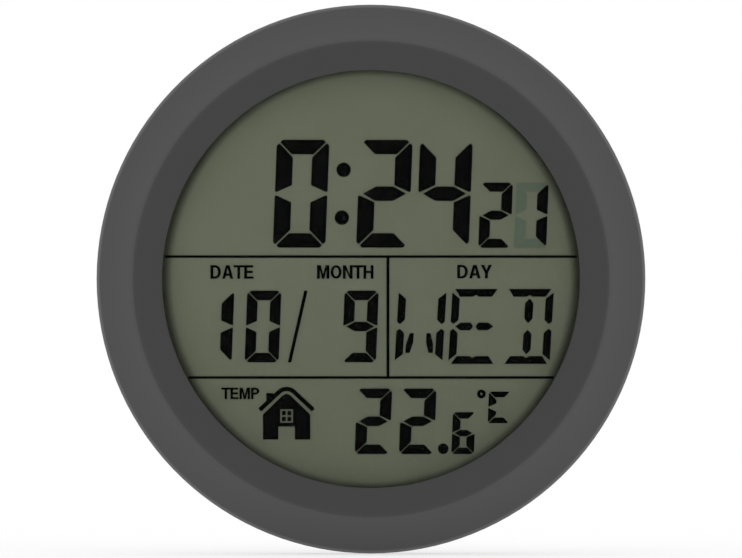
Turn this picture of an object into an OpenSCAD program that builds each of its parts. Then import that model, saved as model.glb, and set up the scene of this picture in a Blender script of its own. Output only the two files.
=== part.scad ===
// Round digital bathroom clock: a reflective display with time, date, weekday and temperature in a
// splash-proof two-shell case, with suction cups, a keyhole hanger and a fold-out stand on the back.
// The modules use bench axes: x to the right, y up, z from the wall towards the viewer, wall at z = 0.
// to_wall() then turns each piece so that +Z is up and the face looks along -Y.

/* [Front case] */
// Diameter of the window opening
window_d = 129.2; // [120:0.2:150]
// Radial width of the slope from the window up to the crest
bezel_w = 9.3; // [8:0.1:14]
// Radial width of the slope from the crest out to the rim
ring_w = 11.1; // [9:0.1:16]
// Height of the crest above the window edge
bezel_drop = 3.5; // [2:0.1:6]
// Height of the crest above the rim
ring_drop = 8; // [5:0.1:9]
// Radius that rounds the crest
crest_round = 2; // [0.5:0.1:3]
// Radius that rounds the rim
edge_round = 2.4; // [0.5:0.1:2.5]
// Wall of both case shells
case_wall = 2.4; // [1.8:0.1:3]
// Thickness of the window edge over the lens
lip_t = 1; // [0.8:0.1:2]
// Radius that the side wall loses towards the back
skirt_taper = 0.8; // [0:0.1:2]

/* [Rear case] */
// Thickness of the back
floor_t = 2; // [1.6:0.1:3]
// Height of the rear shell's rim
rear_rim_h = 4; // [3.6:0.1:6]
// Radius that rounds the rear edge
back_round = 3; // [1:0.1:3.5]
// Groove that shows between the two shells
part_gap = 0.3; // [0.1:0.05:0.6]
// Thickness of the tongue that enters the front shell
tongue_t = 1.8; // [1.4:0.1:2.4]
// Height of that tongue
tongue_h = 4; // [3.4:0.1:6]
// Clearance round the tongue
tongue_gap = 0.25; // [0.1:0.05:0.5]
// Height of the case gasket
gasket_h = 1.6; // [1:0.1:2]
// Depth of the gasket's groove
gasket_depth = 0.9; // [0.5:0.1:1.2]
// Radius of the screw posts
boss_r = 3; // [2.6:0.1:3.5]
// Radius of a case screw's shank
case_screw_r = 1.3; // [1:0.1:1.5]
// Length of a case screw under its head
case_screw_l = 10; // [7:0.5:11]
// Radius of a case screw's head
case_head_r = 2.4; // [2:0.1:2.6]

/* [Display] */
// Thickness of the lens
lens_t = 1.5; // [1:0.1:3]
// How far the lens reaches under the window edge
lens_margin = 3.7; // [3:0.1:5]
// Thickness of the adhesive ring
tape_t = 0.3; // [0.1:0.05:0.5]
// Thickness of the foam ring between lens and display
spacer_t = 0.6; // [0.4:0.1:2]
// Thickness of the polariser film
polariser_t = 0.2; // [0.1:0.05:0.4]
// Thickness of each display glass
glass_t = 1.1; // [0.5:0.1:1.5]
// Thickness of the readout layer between the glasses
readout_t = 0.2; // [0.1:0.05:0.4]
// Thickness of the reflector film
reflector_t = 0.3; // [0.1:0.05:0.5]
// How far the display reaches under the window edge
lcd_margin = 1.6; // [1.4:0.1:2.4]
// Width of the contact ledge of the front glass
ledge_w = 3.4; // [2.8:0.1:5]
// Thickness of the display tray
tray_t = 1.5; // [1.2:0.1:2.5]

/* [Readout] */
// Height of the hour and minute digits
time_h = 33.4; // [24:0.2:34]
// Width of the hour and minute digits
time_w = 16.3; // [12:0.1:17]
// Height of the seconds digits
second_h = 20.2; // [14:0.2:22]
// Width of the seconds digits
second_w = 10; // [7:0.1:10.5]
// Height of the date and month digits
date_h = 22.2; // [16:0.1:24]
// Width of the date and month digits
date_w = 10.6; // [8:0.1:12]
// Height of the weekday letters
day_h = 23.2; // [20:0.1:24]
// Width of the weekday letters
day_w = 14.8; // [12:0.1:15.5]
// Height of the temperature digits
temp_h = 20.3; // [16:0.1:21]
// Width of the temperature digits
temp_w = 10.9; // [8:0.1:11]
// Thickness of the ruled lines
rule_t = 0.8; // [0.4:0.1:1.2]

/* [Electronics] */
// Height of the elastomer connector
zebra_h = 5.2; // [4.4:0.1:5.4]
// Width of the elastomer connector
zebra_w = 2; // [1.6:0.1:2.4]
// Length of the elastomer connector
zebra_l = 40; // [30:1:44]
// Thickness of the circuit board
board_t = 1.6; // [1:0.1:2]
// Half height of the circuit board
board_y = 34; // [32:0.5:35]
// Side of a switch body
switch_w = 6; // [5:0.1:7]
// Height of a switch body
switch_h = 3.5; // [3:0.1:3.8]
// Radius of a switch plunger
stem_r = 1.7; // [1.2:0.1:2]

/* [Battery] */
// Diameter of a cell
cell_d = 10.5; // [9:0.1:14.5]
// Length of a cell over its button end
cell_l = 44.5; // [40:0.1:50]
// Clearance round a cell
cell_gap = 0.3; // [0.2:0.05:0.6]
// Room for a contact and its spring
spring_room = 5.5; // [4.6:0.1:7]
// Wall of the battery well
well_wall = 1.3; // [1:0.1:2]
// Thickness of the battery door
door_t = 1.6; // [1.4:0.1:2]
// Clearance round the battery door
door_gap = 0.15; // [0.1:0.05:0.3]
// Width of the door's rails
rail_w = 0.9; // [0.6:0.1:1.5]
// How far the door laps over the edge of the well
door_lap = 3.2; // [2.4:0.1:5]
// Height of the battery housing behind the back
pod_h = 3; // [2.6:0.1:5]
// Thickness of the contact plates
contact_t = 0.4; // [0.3:0.05:0.6]
// Wire of the contact springs
spring_wire = 0.6; // [0.4:0.05:0.7]
// Diameter of the leads
lead_d = 1.2; // [1:0.1:1.6]

/* [Back fittings] */
// Height of the suction cups' lips behind the battery housing
cup_standoff = 8; // [7:0.1:14]
// Diameter of a suction cup
cup_d = 36; // [26:0.5:38]
// Distance of the cups from the vertical and horizontal middle
cup_pos = 41; // [40:0.5:44]
// Diameter of the keyhole's round end
hanger_d = 9; // [7:0.1:10]
// Width of the keyhole's slot
hanger_slot = 4.2; // [3:0.1:4.6]
// Height of the keyhole's round end above the middle
hanger_y = 52; // [48:0.5:54]
// Travel of the screw in the keyhole
hanger_drop = 9; // [6:0.5:10]
// Diameter of a button
button_d = 6.6; // [5:0.1:8]
// Distance between buttons
button_pitch = 12; // [10:0.5:13]
// Distance of the buttons from the middle
button_x = 50; // [48:0.5:52]
// Height of a button behind the back
button_proud = 1.2; // [0.8:0.1:2]
// Clearance round a button
button_gap = 0.25; // [0.15:0.05:0.5]
// Travel of a button
press_travel = 0.5; // [0.2:0.05:0.6]
// Length of the stand from its pin
stand_l = 45; // [36:0.5:48]
// Width of the stand at its pin
stand_w = 28; // [20:0.5:32]
// Width of the stand at its tip
tip_w = 22; // [14:0.5:28]
// Thickness of the stand
stand_t = 2.4; // [1.8:0.1:2.6]
// Diameter of the stand's pin
pin_d = 2; // [1.5:0.1:2.4]
// Width of each ear that holds the pin
ear_w = 3; // [2:0.1:4]

/* [Hidden] */
$fn = 96;

// Small amounts that recur: overlap of joined shapes, play of a screw in its hole, play between seated parts
join = 0.5;
screw_play = 0.02;
seat_play = 0.05;
fit_gap = 0.2;

// Depth stack, from the wall to the crest
z_pod = cup_standoff;
z_back = z_pod + pod_h;
z_floor = z_back + floor_t;
z_door = z_pod + door_t;
z_cell = z_door + cell_gap + cell_d / 2;
z_well = z_cell + cell_d / 2 + cell_gap;
tray_gap = 0.7;
z_tray = z_well + well_wall + tray_gap;
z_reflector = z_tray + tray_t;
z_rear_glass = z_reflector + reflector_t;
z_readout = z_rear_glass + glass_t;
z_front_glass = z_readout + readout_t;
ink_t = 0.75 * readout_t;
z_polariser = z_front_glass + glass_t;
z_spacer = z_polariser + polariser_t;
z_lens = z_spacer + spacer_t;
z_tape = z_lens + lens_t;
z_seat = z_tape + tape_t;
z_lip = z_seat + lip_t;
z_crest = z_lip + bezel_drop;
z_rim = z_crest - ring_drop;
z_part = z_back + rear_rim_h;
z_tongue = z_part + tongue_h;
z_post = z_part + tongue_h / 2;
z_board_front = z_front_glass - zebra_h;
z_board = z_board_front - board_t;

// Radii, from the window to the rim
window_r = window_d / 2;
crest_r = window_r + bezel_w;
case_r = crest_r + ring_w;
part_r = case_r - skirt_taper;
skirt_r = part_r - case_wall;
tongue_r = skirt_r - tongue_gap;
tongue_in_r = tongue_r - tongue_t;
post_gap = 1.2;
web_t = 1.6;
post_circle = tongue_in_r - post_gap - boss_r;
POST_ANGLES = [0:60:300];
case_head_h = 1.7;
head_sink = 0.4;
head_gap = 0.3;
lens_r = window_r + lens_margin;
lens_rib_t = 1.6;
ring_in_r = window_r + 3 * fit_gap;
ring_out_r = lens_r - fit_gap / 2;
lcd_a = window_r + lcd_margin;
lcd_corner = lcd_a / cos(22.5);
tray_edge = 1;
tray_r = lcd_corner + tray_edge;
tray_ledge = 6;
tray_head_h = 1.4;
tray_boss_r = 2.6;
tray_screw_r = 1;
tray_screw_l = 5;
tray_head_r = 2;
tray_lug = 1.8;
tray_circle = tray_r + 2 * fit_gap + tray_boss_r;
TRAY_ANGLES = [45:90:315];

// Battery well, door and housing
cell_space = 0.5;
cell_pitch = cell_d + cell_space;
well_l = cell_l + spring_room;
well_w = cell_pitch + cell_d + 2 * cell_gap;
door_y = well_w / 2 + door_lap;
door_left = -well_l / 2 - door_lap;
rail_lip = 0.9;
rail_wall = 1.8;
pod_y = door_y + rail_w + rail_wall;
pod_end = 6;
pod_x = well_l / 2 + door_lap + pod_end;
pod_round = 5;
contact_w = cell_d - 1.7;
nub_gap = 0.1;
cell_x = well_l / 2 - contact_t - nub_gap;
tab_w = 3;
tab_out = 3;
tab_z = z_cell + contact_w / 2 - contact_t;

// Board and what it carries, on the side of the contact ledge
zebra_x = -lcd_a - ledge_w / 2;
ledge_y = zebra_l / 2 + 1;
board_edge = 1.8;
board_left = -lcd_a - ledge_w - board_edge;
board_space = 5.7;
board_right = -well_l / 2 - well_wall - board_space;
board_cut = 9;
board_post_r = 2.4;
post_hole_r = 0.8;
post_inset = 7;
post_edge = 8;
post_step = 1.5;
post_y = board_y - post_inset;
outer_post_x = board_left + board_cut + post_step;
inner_post_x = board_right - post_edge;
BOARD_POSTS = [for (x = [outer_post_x, inner_post_x], y = [post_y, -post_y]) [x, y]];
board_head_r = 1.8;
board_head_h = 1.3;
board_bite = 2.4;
chip_inset = 6.5;
chip_x = board_right - chip_inset;
chip_y = 8;
crystal_y = -16;
capacitor_l = 1.6;
capacitor_w = 0.9;
capacitor_inset = 9;
capacitor_step = 3;
capacitor_y = 14;
capacitor_pitch = 4;
CAPACITORS = [for (x = [0, capacitor_step], side = [-1, 1], y = [0, capacitor_pitch])
    [board_left + capacitor_inset + x, side * (capacitor_y + y) - capacitor_w / 2]];
vent_space = 14;
vent_x = -button_x - vent_space;
vent_w = 1.4;
vent_l = 14;
vent_pitch = 3;
BUTTON_Y = [1.5 * button_pitch, 0.5 * button_pitch, -0.5 * button_pitch, -1.5 * button_pitch];
button_flange_t = 0.8;
button_flange_w = 1;
button_bevel = 0.5;
sign_h = 0.25;
z_flange = z_floor + fit_gap;
z_switch = z_board - switch_h;
stem_out = 1.2;
stem_in = 0.9;
stem_rest = 0.4;
z_stem = z_switch - stem_out;

// Suction cups
cup_lip_t = 0.8;
cup_hollow = 3.4;
cup_neck_r = 2.2;
cup_head_r = 4;
cup_head_h = 2.5;
cup_shoulder_r = 5.2;
cup_shoulder_h = 4.8;
pocket_h = 4;
pocket_wall = 1.2;
cup_pocket_r = cup_head_r + 0.6;
hanger_pocket_r = hanger_d / 2 + 1;
CUPS = [[-cup_pos, cup_pos], [cup_pos, cup_pos], [-cup_pos, -cup_pos], [cup_pos, -cup_pos]];

// Stand hinge
barrel_wall = 1;
barrel_r = pin_d / 2 + barrel_wall;
hinge_gap = 0.3;
pin_play = 0.05;
hinge_space = 7;
hinge_y = -pod_y - hinge_space;
hinge_z = z_back - barrel_r - hinge_gap;
ear_r = barrel_r + 0.4;
plate_drop = 0.8;
cam_reach = 1.1;
tip_round = 4;
rest_r = 1.5;
stand_rib_w = 1.2;
stand_rib_h = 0.5;
ear_x = stand_w / 2 + hinge_gap;

// Readout layout: the artwork is drawn for a window of this diameter and follows the window
artwork_d = 129.2;
art = window_d / artwork_d;
slant = 0.0386;
letter_slant = 0.06;
time_y = 26.4;
time_x = -21.6;
time_colon = 9.45;
time_space = 2.3;
colon_r = 2.25;
colon_y = 7.4;
second_y = 19.75;
second_space = 1.06;
date_y = -14.67;
date_space = 3.95;
date_x = -33.4;
month_x = -3.3;
day_y = -14.65;
day_x = 15.35;
day_space = 1.8;
temp_y = -44;
temp_x = 0.75;
temp_space = 2.8;
tenth_w = 7.05;
tenth_h = 13;
tenth_space = 2.45;
tenth_shift = 0.27;
point_r = 1.67;
degree_r = 1.38;
degree_bore_r = 0.34;
degree_space = 2.03;
degree_drop = 1.7;
celsius_x = 5.5;
celsius_drop = 4.15;
celsius_w = 6.75;
celsius_h = 9.8;
celsius_bar = 1.8;
celsius_upright = 2.5;
celsius_gap = 0.12;
slash_x = 4.3;
slash_lean = 2;
slash_t = 1.08;
rule_top = 6.95;
rule_bottom = -30.45;
rule_x = 5.25;
divider_t = 1.15 * rule_t;
// Bars of a digit: uprights as a share of its width, level bars and gaps as shares of its height
time_bars = [0.32, 0.135, 0.008];
second_bars = [0.34, 0.141, 0.0065];
one_bars = [0.36, 0.134, 0.007];
date_bars = [0.32, 0.134, 0.007];
temp_bars = [0.335, 0.147, 0.0065];
tenth_bars = [0.36, 0.156, 0.008];
DIGITS = ["abcdef", "bc", "abged", "abgcd", "fgbc", "afgcd", "afgedc", "abc", "abcdefg", "abcdfg"];

// Routes of the two leads inside the case, from a terminal's tab to the board
LEAD_BENDS = [[4, 6.5, -0.6], [1.5, 12.5, -1.4], [-8, 15.5, -2], [-30, 16, -2.4], [-52, 16.5, -2.4],
    [-60, 21, -2]];
lead_pad = [-3, 30];

// Turns a piece from bench axes to its place on the wall
module to_wall() {
    rotate([90, 0, 0]) children();
}

function unit(v) = v / norm(v);

// Points of the arc that rounds corner b between a and c
function corner_arc(a, b, c, r, steps = 8) =
    let (
        u = unit(a - b),
        v = unit(c - b),
        half = acos(u * v) / 2,
        centre = b + unit(u + v) * r / sin(half),
        from = b + u * r / tan(half) - centre,
        to = b + v * r / tan(half) - centre,
        start = atan2(from.y, from.x),
        sweep = (atan2(to.y, to.x) - start + 540) % 360 - 180
    )
    [for (i = [0:steps]) centre + r * [cos(start + sweep * i / steps), sin(start + sweep * i / steps)]];

// Where the line through p along u meets the line through q along v
function meet(p, u, q, v) =
    let (d = u.x * v.y - u.y * v.x, w = q - p)
    p + u * (w.x * v.y - w.y * v.x) / d;

// Height of the outer slope at a radius
function ring_z(r) = z_crest - ring_drop * (r - crest_r) / ring_w;

module rounded_rect(w, h, r) {
    square([w - 2 * r, h], center = true);
    square([w, h - 2 * r], center = true);
    for (x = [-1, 1], y = [-1, 1]) {
        translate([x * (w / 2 - r), y * (h / 2 - r)]) circle(r);
    }
}

module octagon(a) {
    polygon([for (i = [0:7]) a / cos(22.5) * [cos(22.5 + 45 * i), sin(22.5 + 45 * i)]]);
}

// Outline of the display with its contact ledge
module display_outline(grow) {
    octagon(lcd_a + grow);
    translate([-lcd_a - ledge_w - grow, -ledge_y - grow]) {
        square([ledge_w + 2 * grow + join, 2 * (ledge_y + grow)]);
    }
}

module ring(r_out, r_in, h) {
    difference() {
        cylinder(r = r_out, h = h);
        translate([0, 0, -1]) cylinder(r = r_in, h = h + 2);
    }
}

// Cylinder along x between two places
module rod_x(x0, x1, r) {
    translate([x0, 0, 0]) rotate([0, 90, 0]) cylinder(r = r, h = x1 - x0);
}

// Pan-head screw driven along +z, with the underside of its head at z = 0
module pan_screw(head_r, head_h, shank_r, shank_l) {
    cross_w = head_r * 0.26;
    difference() {
        rotate_extrude() polygon([
            [0, -head_h], [head_r * 0.84, -head_h], [head_r, -head_h * 0.6], [head_r, 0],
            [shank_r, 0], [shank_r, shank_l - shank_r], [shank_r / 2, shank_l], [0, shank_l]
        ]);
        for (turn = [0, 90]) {
            translate([0, 0, -head_h]) rotate([0, 0, turn]) {
                cube([head_r * 1.2, cross_w, head_h], center = true);
            }
        }
    }
}

function front_profile() =
    let (
        lip = [window_r, z_lip],
        crest = [crest_r, z_crest],
        rim = [case_r, z_rim],
        foot = [part_r, z_part + part_gap],
        in_dir = unit(crest - lip),
        out_dir = unit(rim - crest),
        in_line = lip + case_wall * [in_dir.y, -in_dir.x],
        out_line = crest + case_wall * [out_dir.y, -out_dir.x],
        under_crest = meet(in_line, in_dir, out_line, out_dir),
        under_rim = meet(out_line, out_dir, [skirt_r, z_part], [0, 1]),
        rib_out = lens_r + fit_gap + lens_rib_t,
        rib_top = meet(in_line, in_dir, [rib_out, z_part], [0, 1]),
        rib_end = z_spacer + 2 * fit_gap
    )
    concat(
        [[window_r, z_seat], lip],
        corner_arc(lip, crest, rim, crest_round),
        corner_arc(crest, rim, foot, edge_round),
        [foot, [skirt_r, foot.y], under_rim, under_crest, rib_top, [rib_out, rib_end],
            [lens_r + fit_gap, rib_end], [lens_r + fit_gap, z_seat]]
    );

// Post under the bezel with a pilot hole from its free end
module bezel_post(circle, angle, r, z_end, hole_r, hole_l) {
    top = ring_z(circle + r) - case_wall / 2;
    web_top = ring_z(skirt_r + join) - case_wall / 2;
    web_foot = z_tongue + 1;
    rotate([0, 0, angle]) translate([circle, 0, z_end]) difference() {
        union() {
            cylinder(r = r, h = top - z_end);
            translate([0, -web_t / 2, web_foot - z_end]) {
                cube([skirt_r - circle + join, web_t, web_top - web_foot]);
            }
        }
        translate([0, 0, -1]) cylinder(r = hole_r, h = hole_l + 1);
    }
}

module front_case() {
    hole_l = z_back + case_head_h + head_sink + case_screw_l + 1 - z_post;
    color("#4a4b4c") to_wall() {
        difference() {
            rotate_extrude() polygon(front_profile());
            for (a = POST_ANGLES) {
                rotate([0, 0, a]) translate([post_circle, 0, z_post]) cylinder(r = case_screw_r, h = hole_l);
            }
        }
        for (a = POST_ANGLES) bezel_post(post_circle, a, boss_r, z_post, case_screw_r, hole_l);
        for (a = TRAY_ANGLES) {
            boss_top = ring_z(tray_circle + tray_boss_r) - case_wall / 2;
            rotate([0, 0, a]) translate([tray_circle, 0, z_reflector]) difference() {
                cylinder(r = tray_boss_r, h = boss_top - z_reflector);
                translate([0, 0, -1]) cylinder(r = tray_screw_r, h = tray_screw_l - tray_t + 2);
            }
        }
    }
}

module lens() {
    color("#c8d0d0", 0.25) to_wall() translate([0, 0, z_lens]) cylinder(r = lens_r, h = lens_t);
}

module lens_tape() {
    color("#202122") to_wall() translate([0, 0, z_tape]) ring(ring_out_r, ring_in_r, tape_t);
}

module lcd_spacer() {
    color("#1b1c1d") to_wall() translate([0, 0, z_spacer]) ring(ring_out_r, ring_in_r, spacer_t);
}

module front_polariser() {
    color("#8a8f80", 0.3) to_wall() translate([0, 0, z_polariser]) {
        linear_extrude(polariser_t) octagon(lcd_a - fit_gap);
    }
}

module lcd_front_glass() {
    color("#a9b0a4", 0.3) to_wall() translate([0, 0, z_front_glass]) {
        linear_extrude(glass_t) display_outline(0);
    }
}

module lcd_seal() {
    seal_w = 1;
    color("#70745f") to_wall() translate([0, 0, z_readout]) linear_extrude(readout_t) difference() {
        octagon(lcd_a - fit_gap);
        octagon(lcd_a - fit_gap - seal_w);
    }
}

module lcd_rear_glass() {
    color("#8e9482", 0.5) to_wall() translate([0, 0, z_rear_glass]) linear_extrude(glass_t) octagon(lcd_a);
}

module lcd_reflector() {
    color("#65695a") to_wall() translate([0, 0, z_reflector]) {
        linear_extrude(reflector_t) octagon(lcd_a - fit_gap);
    }
}

function mirrored(points, x, y) = [for (p = points) [p.x * x, p.y * y]];

// Outline of one bar of a seven-bar digit, on a cell centred on the origin
function bar_points(bar, w, h, th, tv, gap) =
    let (
        x = w / 2,
        y = h / 2,
        s = gap * 1.1,
        c = th * 0.35,
        rise = 0.46 * tv,
        tip = 0.28 * tv,
        lead = 0.88 * th,
        top = [[-x + s + c, y], [x - s - c, y], [x - s - c / 2, y - c / 2], [x - s - th, y - th],
            [-x + s + th, y - th], [-x + s + c / 2, y - c / 2]],
        side = [[-x, y - s - c], [-x + c / 2, y - s - c / 2], [-x + tv, y - s - tv], [-x + tv, gap + rise],
            [-x + c / 3, gap + rise * c / 3 / tv], [-x, gap + c / 3]],
        middle = [[-x + tip, 0], [-x + tip + lead, th / 2], [x - tip - lead, th / 2], [x - tip, 0],
            [x - tip - lead, -th / 2], [-x + tip + lead, -th / 2]]
    )
    bar == "a" ? top
    : bar == "d" ? mirrored(top, 1, -1)
    : bar == "f" ? side
    : bar == "b" ? mirrored(side, -1, 1)
    : bar == "e" ? mirrored(side, 1, -1)
    : bar == "c" ? mirrored(side, -1, -1)
    : middle;

// Outline of one bar of a fourteen-bar letter, on a cell centred on the origin
function letter_points(bar, w, h, th, gap) =
    let (
        x = w / 2,
        y = h / 2,
        top = [[-x + 0.33 * th, y], [x - 0.33 * th, y], [x - th, y - th], [0.35 * th, y - th],
            [0, y - 0.75 * th], [-0.35 * th, y - th], [-x + th, y - th]],
        side = [[-x, y - 0.45 * th], [-x + th, y - 1.25 * th], [-x + th, 0.85 * th], [-x + 0.4 * th, gap],
            [-x, 0.6 * th]],
        centre = [[-0.53 * th, y - 1.8 * th], [0, y - 0.92 * th - gap], [0.53 * th, y - 1.8 * th],
            [0.53 * th, th], [0, 1.4 * gap], [-0.53 * th, th]],
        oblique = [[-1.75 * th, y - 1.4 * th], [-1.2 * th, y - 1.4 * th], [-0.8 * th, 2.05 * th],
            [-0.8 * th, 0.85 * th], [-1.3 * th, 0.85 * th], [-1.75 * th, 2.3 * th]],
        middle = [[-x + 0.6 * th, 0], [-x + th + gap, th / 2], [-th / 2, th / 2], [-gap / 2, 0],
            [-th / 2, -th / 2], [-x + th + gap, -th / 2]]
    )
    bar == "a" ? top
    : bar == "d" ? mirrored(top, 1, -1)
    : bar == "f" ? side
    : bar == "b" ? mirrored(side, -1, 1)
    : bar == "e" ? mirrored(side, 1, -1)
    : bar == "c" ? mirrored(side, -1, -1)
    : bar == "i" ? centre
    : bar == "l" ? mirrored(centre, 1, -1)
    : bar == "h" ? oblique
    : bar == "k" ? mirrored(oblique, -1, 1)
    : bar == "n" ? mirrored(oblique, 1, -1)
    : bar == "m" ? mirrored(oblique, -1, -1)
    : bar == "g" ? middle
    : mirrored(middle, -1, 1);

module leaning(points, lean = slant) {
    polygon([for (p = points) [p.x + p.y * lean, p.y]]);
}

module digit(value, x, y, w, h, bars) {
    for (bar = DIGITS[value]) {
        translate([x, y]) leaning(bar_points(bar, w, h, h * bars[1], w * bars[0], h * bars[2]));
    }
}

module letter(bars, x) {
    for (bar = bars) {
        outline = letter_points(bar, day_w, day_h, day_h * 0.105, day_h * 0.03);
        translate([x, day_y]) leaning(outline, letter_slant);
    }
}

module time_artwork() {
    two_x = time_x + time_w + time_colon;
    four_x = two_x + time_w + time_space;
    second_x = four_x + time_w / 2 + 2.5 * second_space + second_w / 2;
    digit(0, time_x, time_y, time_w, time_h, time_bars);
    digit(2, two_x, time_y, time_w, time_h, time_bars);
    digit(4, four_x, time_y, time_w, time_h, time_bars);
    for (side = [-1, 1]) {
        dot_x = (time_x + two_x) / 2 + side * colon_y * slant;
        translate([dot_x, time_y + side * colon_y]) circle(colon_r);
    }
    digit(2, second_x, second_y, second_w, second_h, second_bars);
    digit(1, second_x + second_w + second_space, second_y, second_w, second_h, second_bars);
}

module date_artwork() {
    digit(1, date_x - date_w - date_space, date_y, date_w, date_h, one_bars);
    digit(0, date_x, date_y, date_w, date_h, date_bars);
    digit(9, month_x, date_y, date_w, date_h, date_bars);
    slash = [[slash_lean, date_h / 2], [slash_lean + slash_t, date_h / 2]];
    translate([(date_x + month_x) / 2 - slash_x, date_y]) {
        polygon(concat(slash, mirrored(slash, -1, -1)));
    }
    letter("febcnm", day_x);
    letter("afedgj", day_x + day_w + day_space);
    letter("abcdil", day_x + 2 * (day_w + day_space));
}

module temperature_artwork() {
    second_x = temp_x + temp_w + temp_space;
    tenth_x = second_x + temp_w / 2 + 2 * tenth_space + tenth_w / 2 + tenth_shift;
    tenth_y = temp_y - temp_h / 2 + tenth_h / 2;
    sign_x = tenth_x + tenth_w / 2 + degree_space;
    sign_y = temp_y + temp_h / 2 - degree_drop;
    digit(2, temp_x, temp_y, temp_w, temp_h, temp_bars);
    digit(2, second_x, temp_y, temp_w, temp_h, temp_bars);
    translate([second_x + temp_w / 2 + tenth_space, temp_y - temp_h / 2 + point_r]) circle(point_r);
    digit(6, tenth_x, tenth_y, tenth_w, tenth_h, tenth_bars);
    translate([sign_x, sign_y]) difference() {
        circle(degree_r);
        circle(degree_bore_r);
    }
    for (bar = "afed") {
        outline = bar_points(bar, celsius_w, celsius_h, celsius_bar, celsius_upright, celsius_gap);
        translate([sign_x + celsius_x, sign_y - celsius_drop]) leaning(outline);
    }
}

// Ruled lines from edge to edge of the window
module rule_artwork(reach) {
    for (y = [rule_top, rule_bottom]) {
        half = sqrt(reach * reach - y * y) - rule_t;
        translate([-half, y - rule_t / 2]) square([2 * half, rule_t]);
    }
    translate([rule_x - divider_t / 2, rule_bottom]) square([divider_t, rule_top - rule_bottom]);
}

module lcd_segments() {
    color("#131513") to_wall() translate([0, 0, z_readout]) linear_extrude(ink_t) scale(art) {
        time_artwork();
        date_artwork();
        temperature_artwork();
        rule_artwork(artwork_d / 2 + fit_gap);
    }
}

// Round plate with a lug under the contact ledge
module tray_outline() {
    circle(tray_r);
    translate([-lcd_a - ledge_w - tray_lug, -ledge_y - tray_lug]) {
        square([ledge_w + 2 * tray_lug, 2 * (ledge_y + tray_lug)]);
    }
}

module lcd_tray() {
    bar_w = 8;
    bar_x = inner_post_x - bar_w / 2;
    bar_y = sqrt(tray_r * tray_r - bar_x * bar_x) - 3;
    color("#d9d9d4") to_wall() difference() {
        union() {
            translate([0, 0, z_tray]) linear_extrude(tray_t) difference() {
                tray_outline();
                octagon(lcd_a - tray_ledge);
            }
            translate([bar_x, -bar_y, z_tray]) cube([bar_w, 2 * bar_y, tray_t]);
            translate([0, 0, z_tray]) linear_extrude(z_polariser - z_tray) difference() {
                tray_outline();
                display_outline(fit_gap);
            }
            for (a = TRAY_ANGLES) rotate([0, 0, a]) {
                translate([tray_circle, 0, z_tray]) cylinder(r = tray_boss_r + 0.6, h = tray_t);
                translate([lcd_a, -tray_boss_r, z_tray]) cube([tray_circle - lcd_a, 2 * tray_boss_r, tray_t]);
            }
            for (p = BOARD_POSTS) {
                translate([p.x, p.y, z_board_front]) {
                    cylinder(r = board_post_r, h = z_tray - z_board_front + join);
                }
            }
        }
        for (a = TRAY_ANGLES) {
            rotate([0, 0, a]) translate([tray_circle, 0, z_tray - 1]) {
                cylinder(r = tray_screw_r + fit_gap, h = tray_t + 2);
            }
        }
        for (a = POST_ANGLES) {
            rotate([0, 0, a]) translate([post_circle, 0, z_tray - 1]) {
                cylinder(r = boss_r + 2 * fit_gap, h = z_polariser - z_tray + 2);
            }
        }
        for (p = BOARD_POSTS) translate([p.x, p.y, z_board_front - 1]) cylinder(r = post_hole_r, h = 4);
        translate([zebra_x - zebra_w / 2 - fit_gap, -zebra_l / 2 - fit_gap, z_tray - 1]) {
            cube([zebra_w + 2 * fit_gap, zebra_l + 2 * fit_gap, z_polariser - z_tray + 2]);
        }
    }
}

module tray_screws() {
    color("#b9bcbf") to_wall() for (a = TRAY_ANGLES) {
        rotate([0, 0, a]) translate([tray_circle, 0, z_tray]) {
            pan_screw(tray_head_r, tray_head_h, tray_screw_r - screw_play, tray_screw_l);
        }
    }
}

module zebra_strip() {
    color("#5b3f52") to_wall() translate([zebra_x - zebra_w / 2, -zebra_l / 2, z_board_front]) {
        cube([zebra_w, zebra_l, zebra_h]);
    }
}

module circuit_board() {
    color("#2f6b3c") to_wall() translate([0, 0, z_board]) difference() {
        linear_extrude(board_t) polygon([
            [board_right, -board_y], [board_right, board_y], [board_left + board_cut, board_y],
            [board_left, board_y - board_cut], [board_left, board_cut - board_y],
            [board_left + board_cut, -board_y]
        ]);
        for (p = BOARD_POSTS) translate([p.x, p.y, -1]) cylinder(r = post_hole_r + fit_gap, h = board_t + 2);
    }
}

module board_screws() {
    color("#b9bcbf") to_wall() for (p = BOARD_POSTS) {
        translate([p.x, p.y, z_board]) {
            pan_screw(board_head_r, board_head_h, post_hole_r - screw_play, board_t + board_bite);
        }
    }
}

module driver_chip() {
    chip_r = 4.2;
    chip_h = 1.7;
    dome_r = (chip_r * chip_r + chip_h * chip_h) / (2 * chip_h);
    color("#161616") to_wall() translate([chip_x, chip_y, z_board]) intersection() {
        translate([0, 0, dome_r - chip_h]) sphere(dome_r);
        translate([0, 0, -chip_h]) cylinder(r = chip_r, h = chip_h);
    }
}

module quartz_crystal() {
    can_r = 1.5;
    can_l = 8;
    color("#c3c5c7") to_wall() translate([chip_x, crystal_y, z_board - can_r - seat_play]) {
        rotate([-90, 0, 0]) cylinder(r = can_r, h = can_l);
        for (x = [-0.7, 0.7]) translate([x - 0.2, -1.2, -0.2]) {
            cube([0.4, 1.6, 0.4]);
            cube([0.4, 0.4, can_r + seat_play + 0.2]);
        }
    }
}

module chip_capacitors() {
    color("#a98758") to_wall() for (p = CAPACITORS) {
        translate([p.x, p.y, z_board - capacitor_w]) cube([capacitor_l, capacitor_w, capacitor_w]);
    }
}

module thermistor() {
    bead_r = 1.3;
    lead_l = 4;
    color("#3b2b20") to_wall() translate([vent_x, 0, z_board]) {
        translate([0, 0, -lead_l]) sphere(bead_r);
        for (x = [-0.5, 0.5]) translate([x, 0, -lead_l]) cylinder(r = 0.25, h = lead_l);
    }
}

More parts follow.
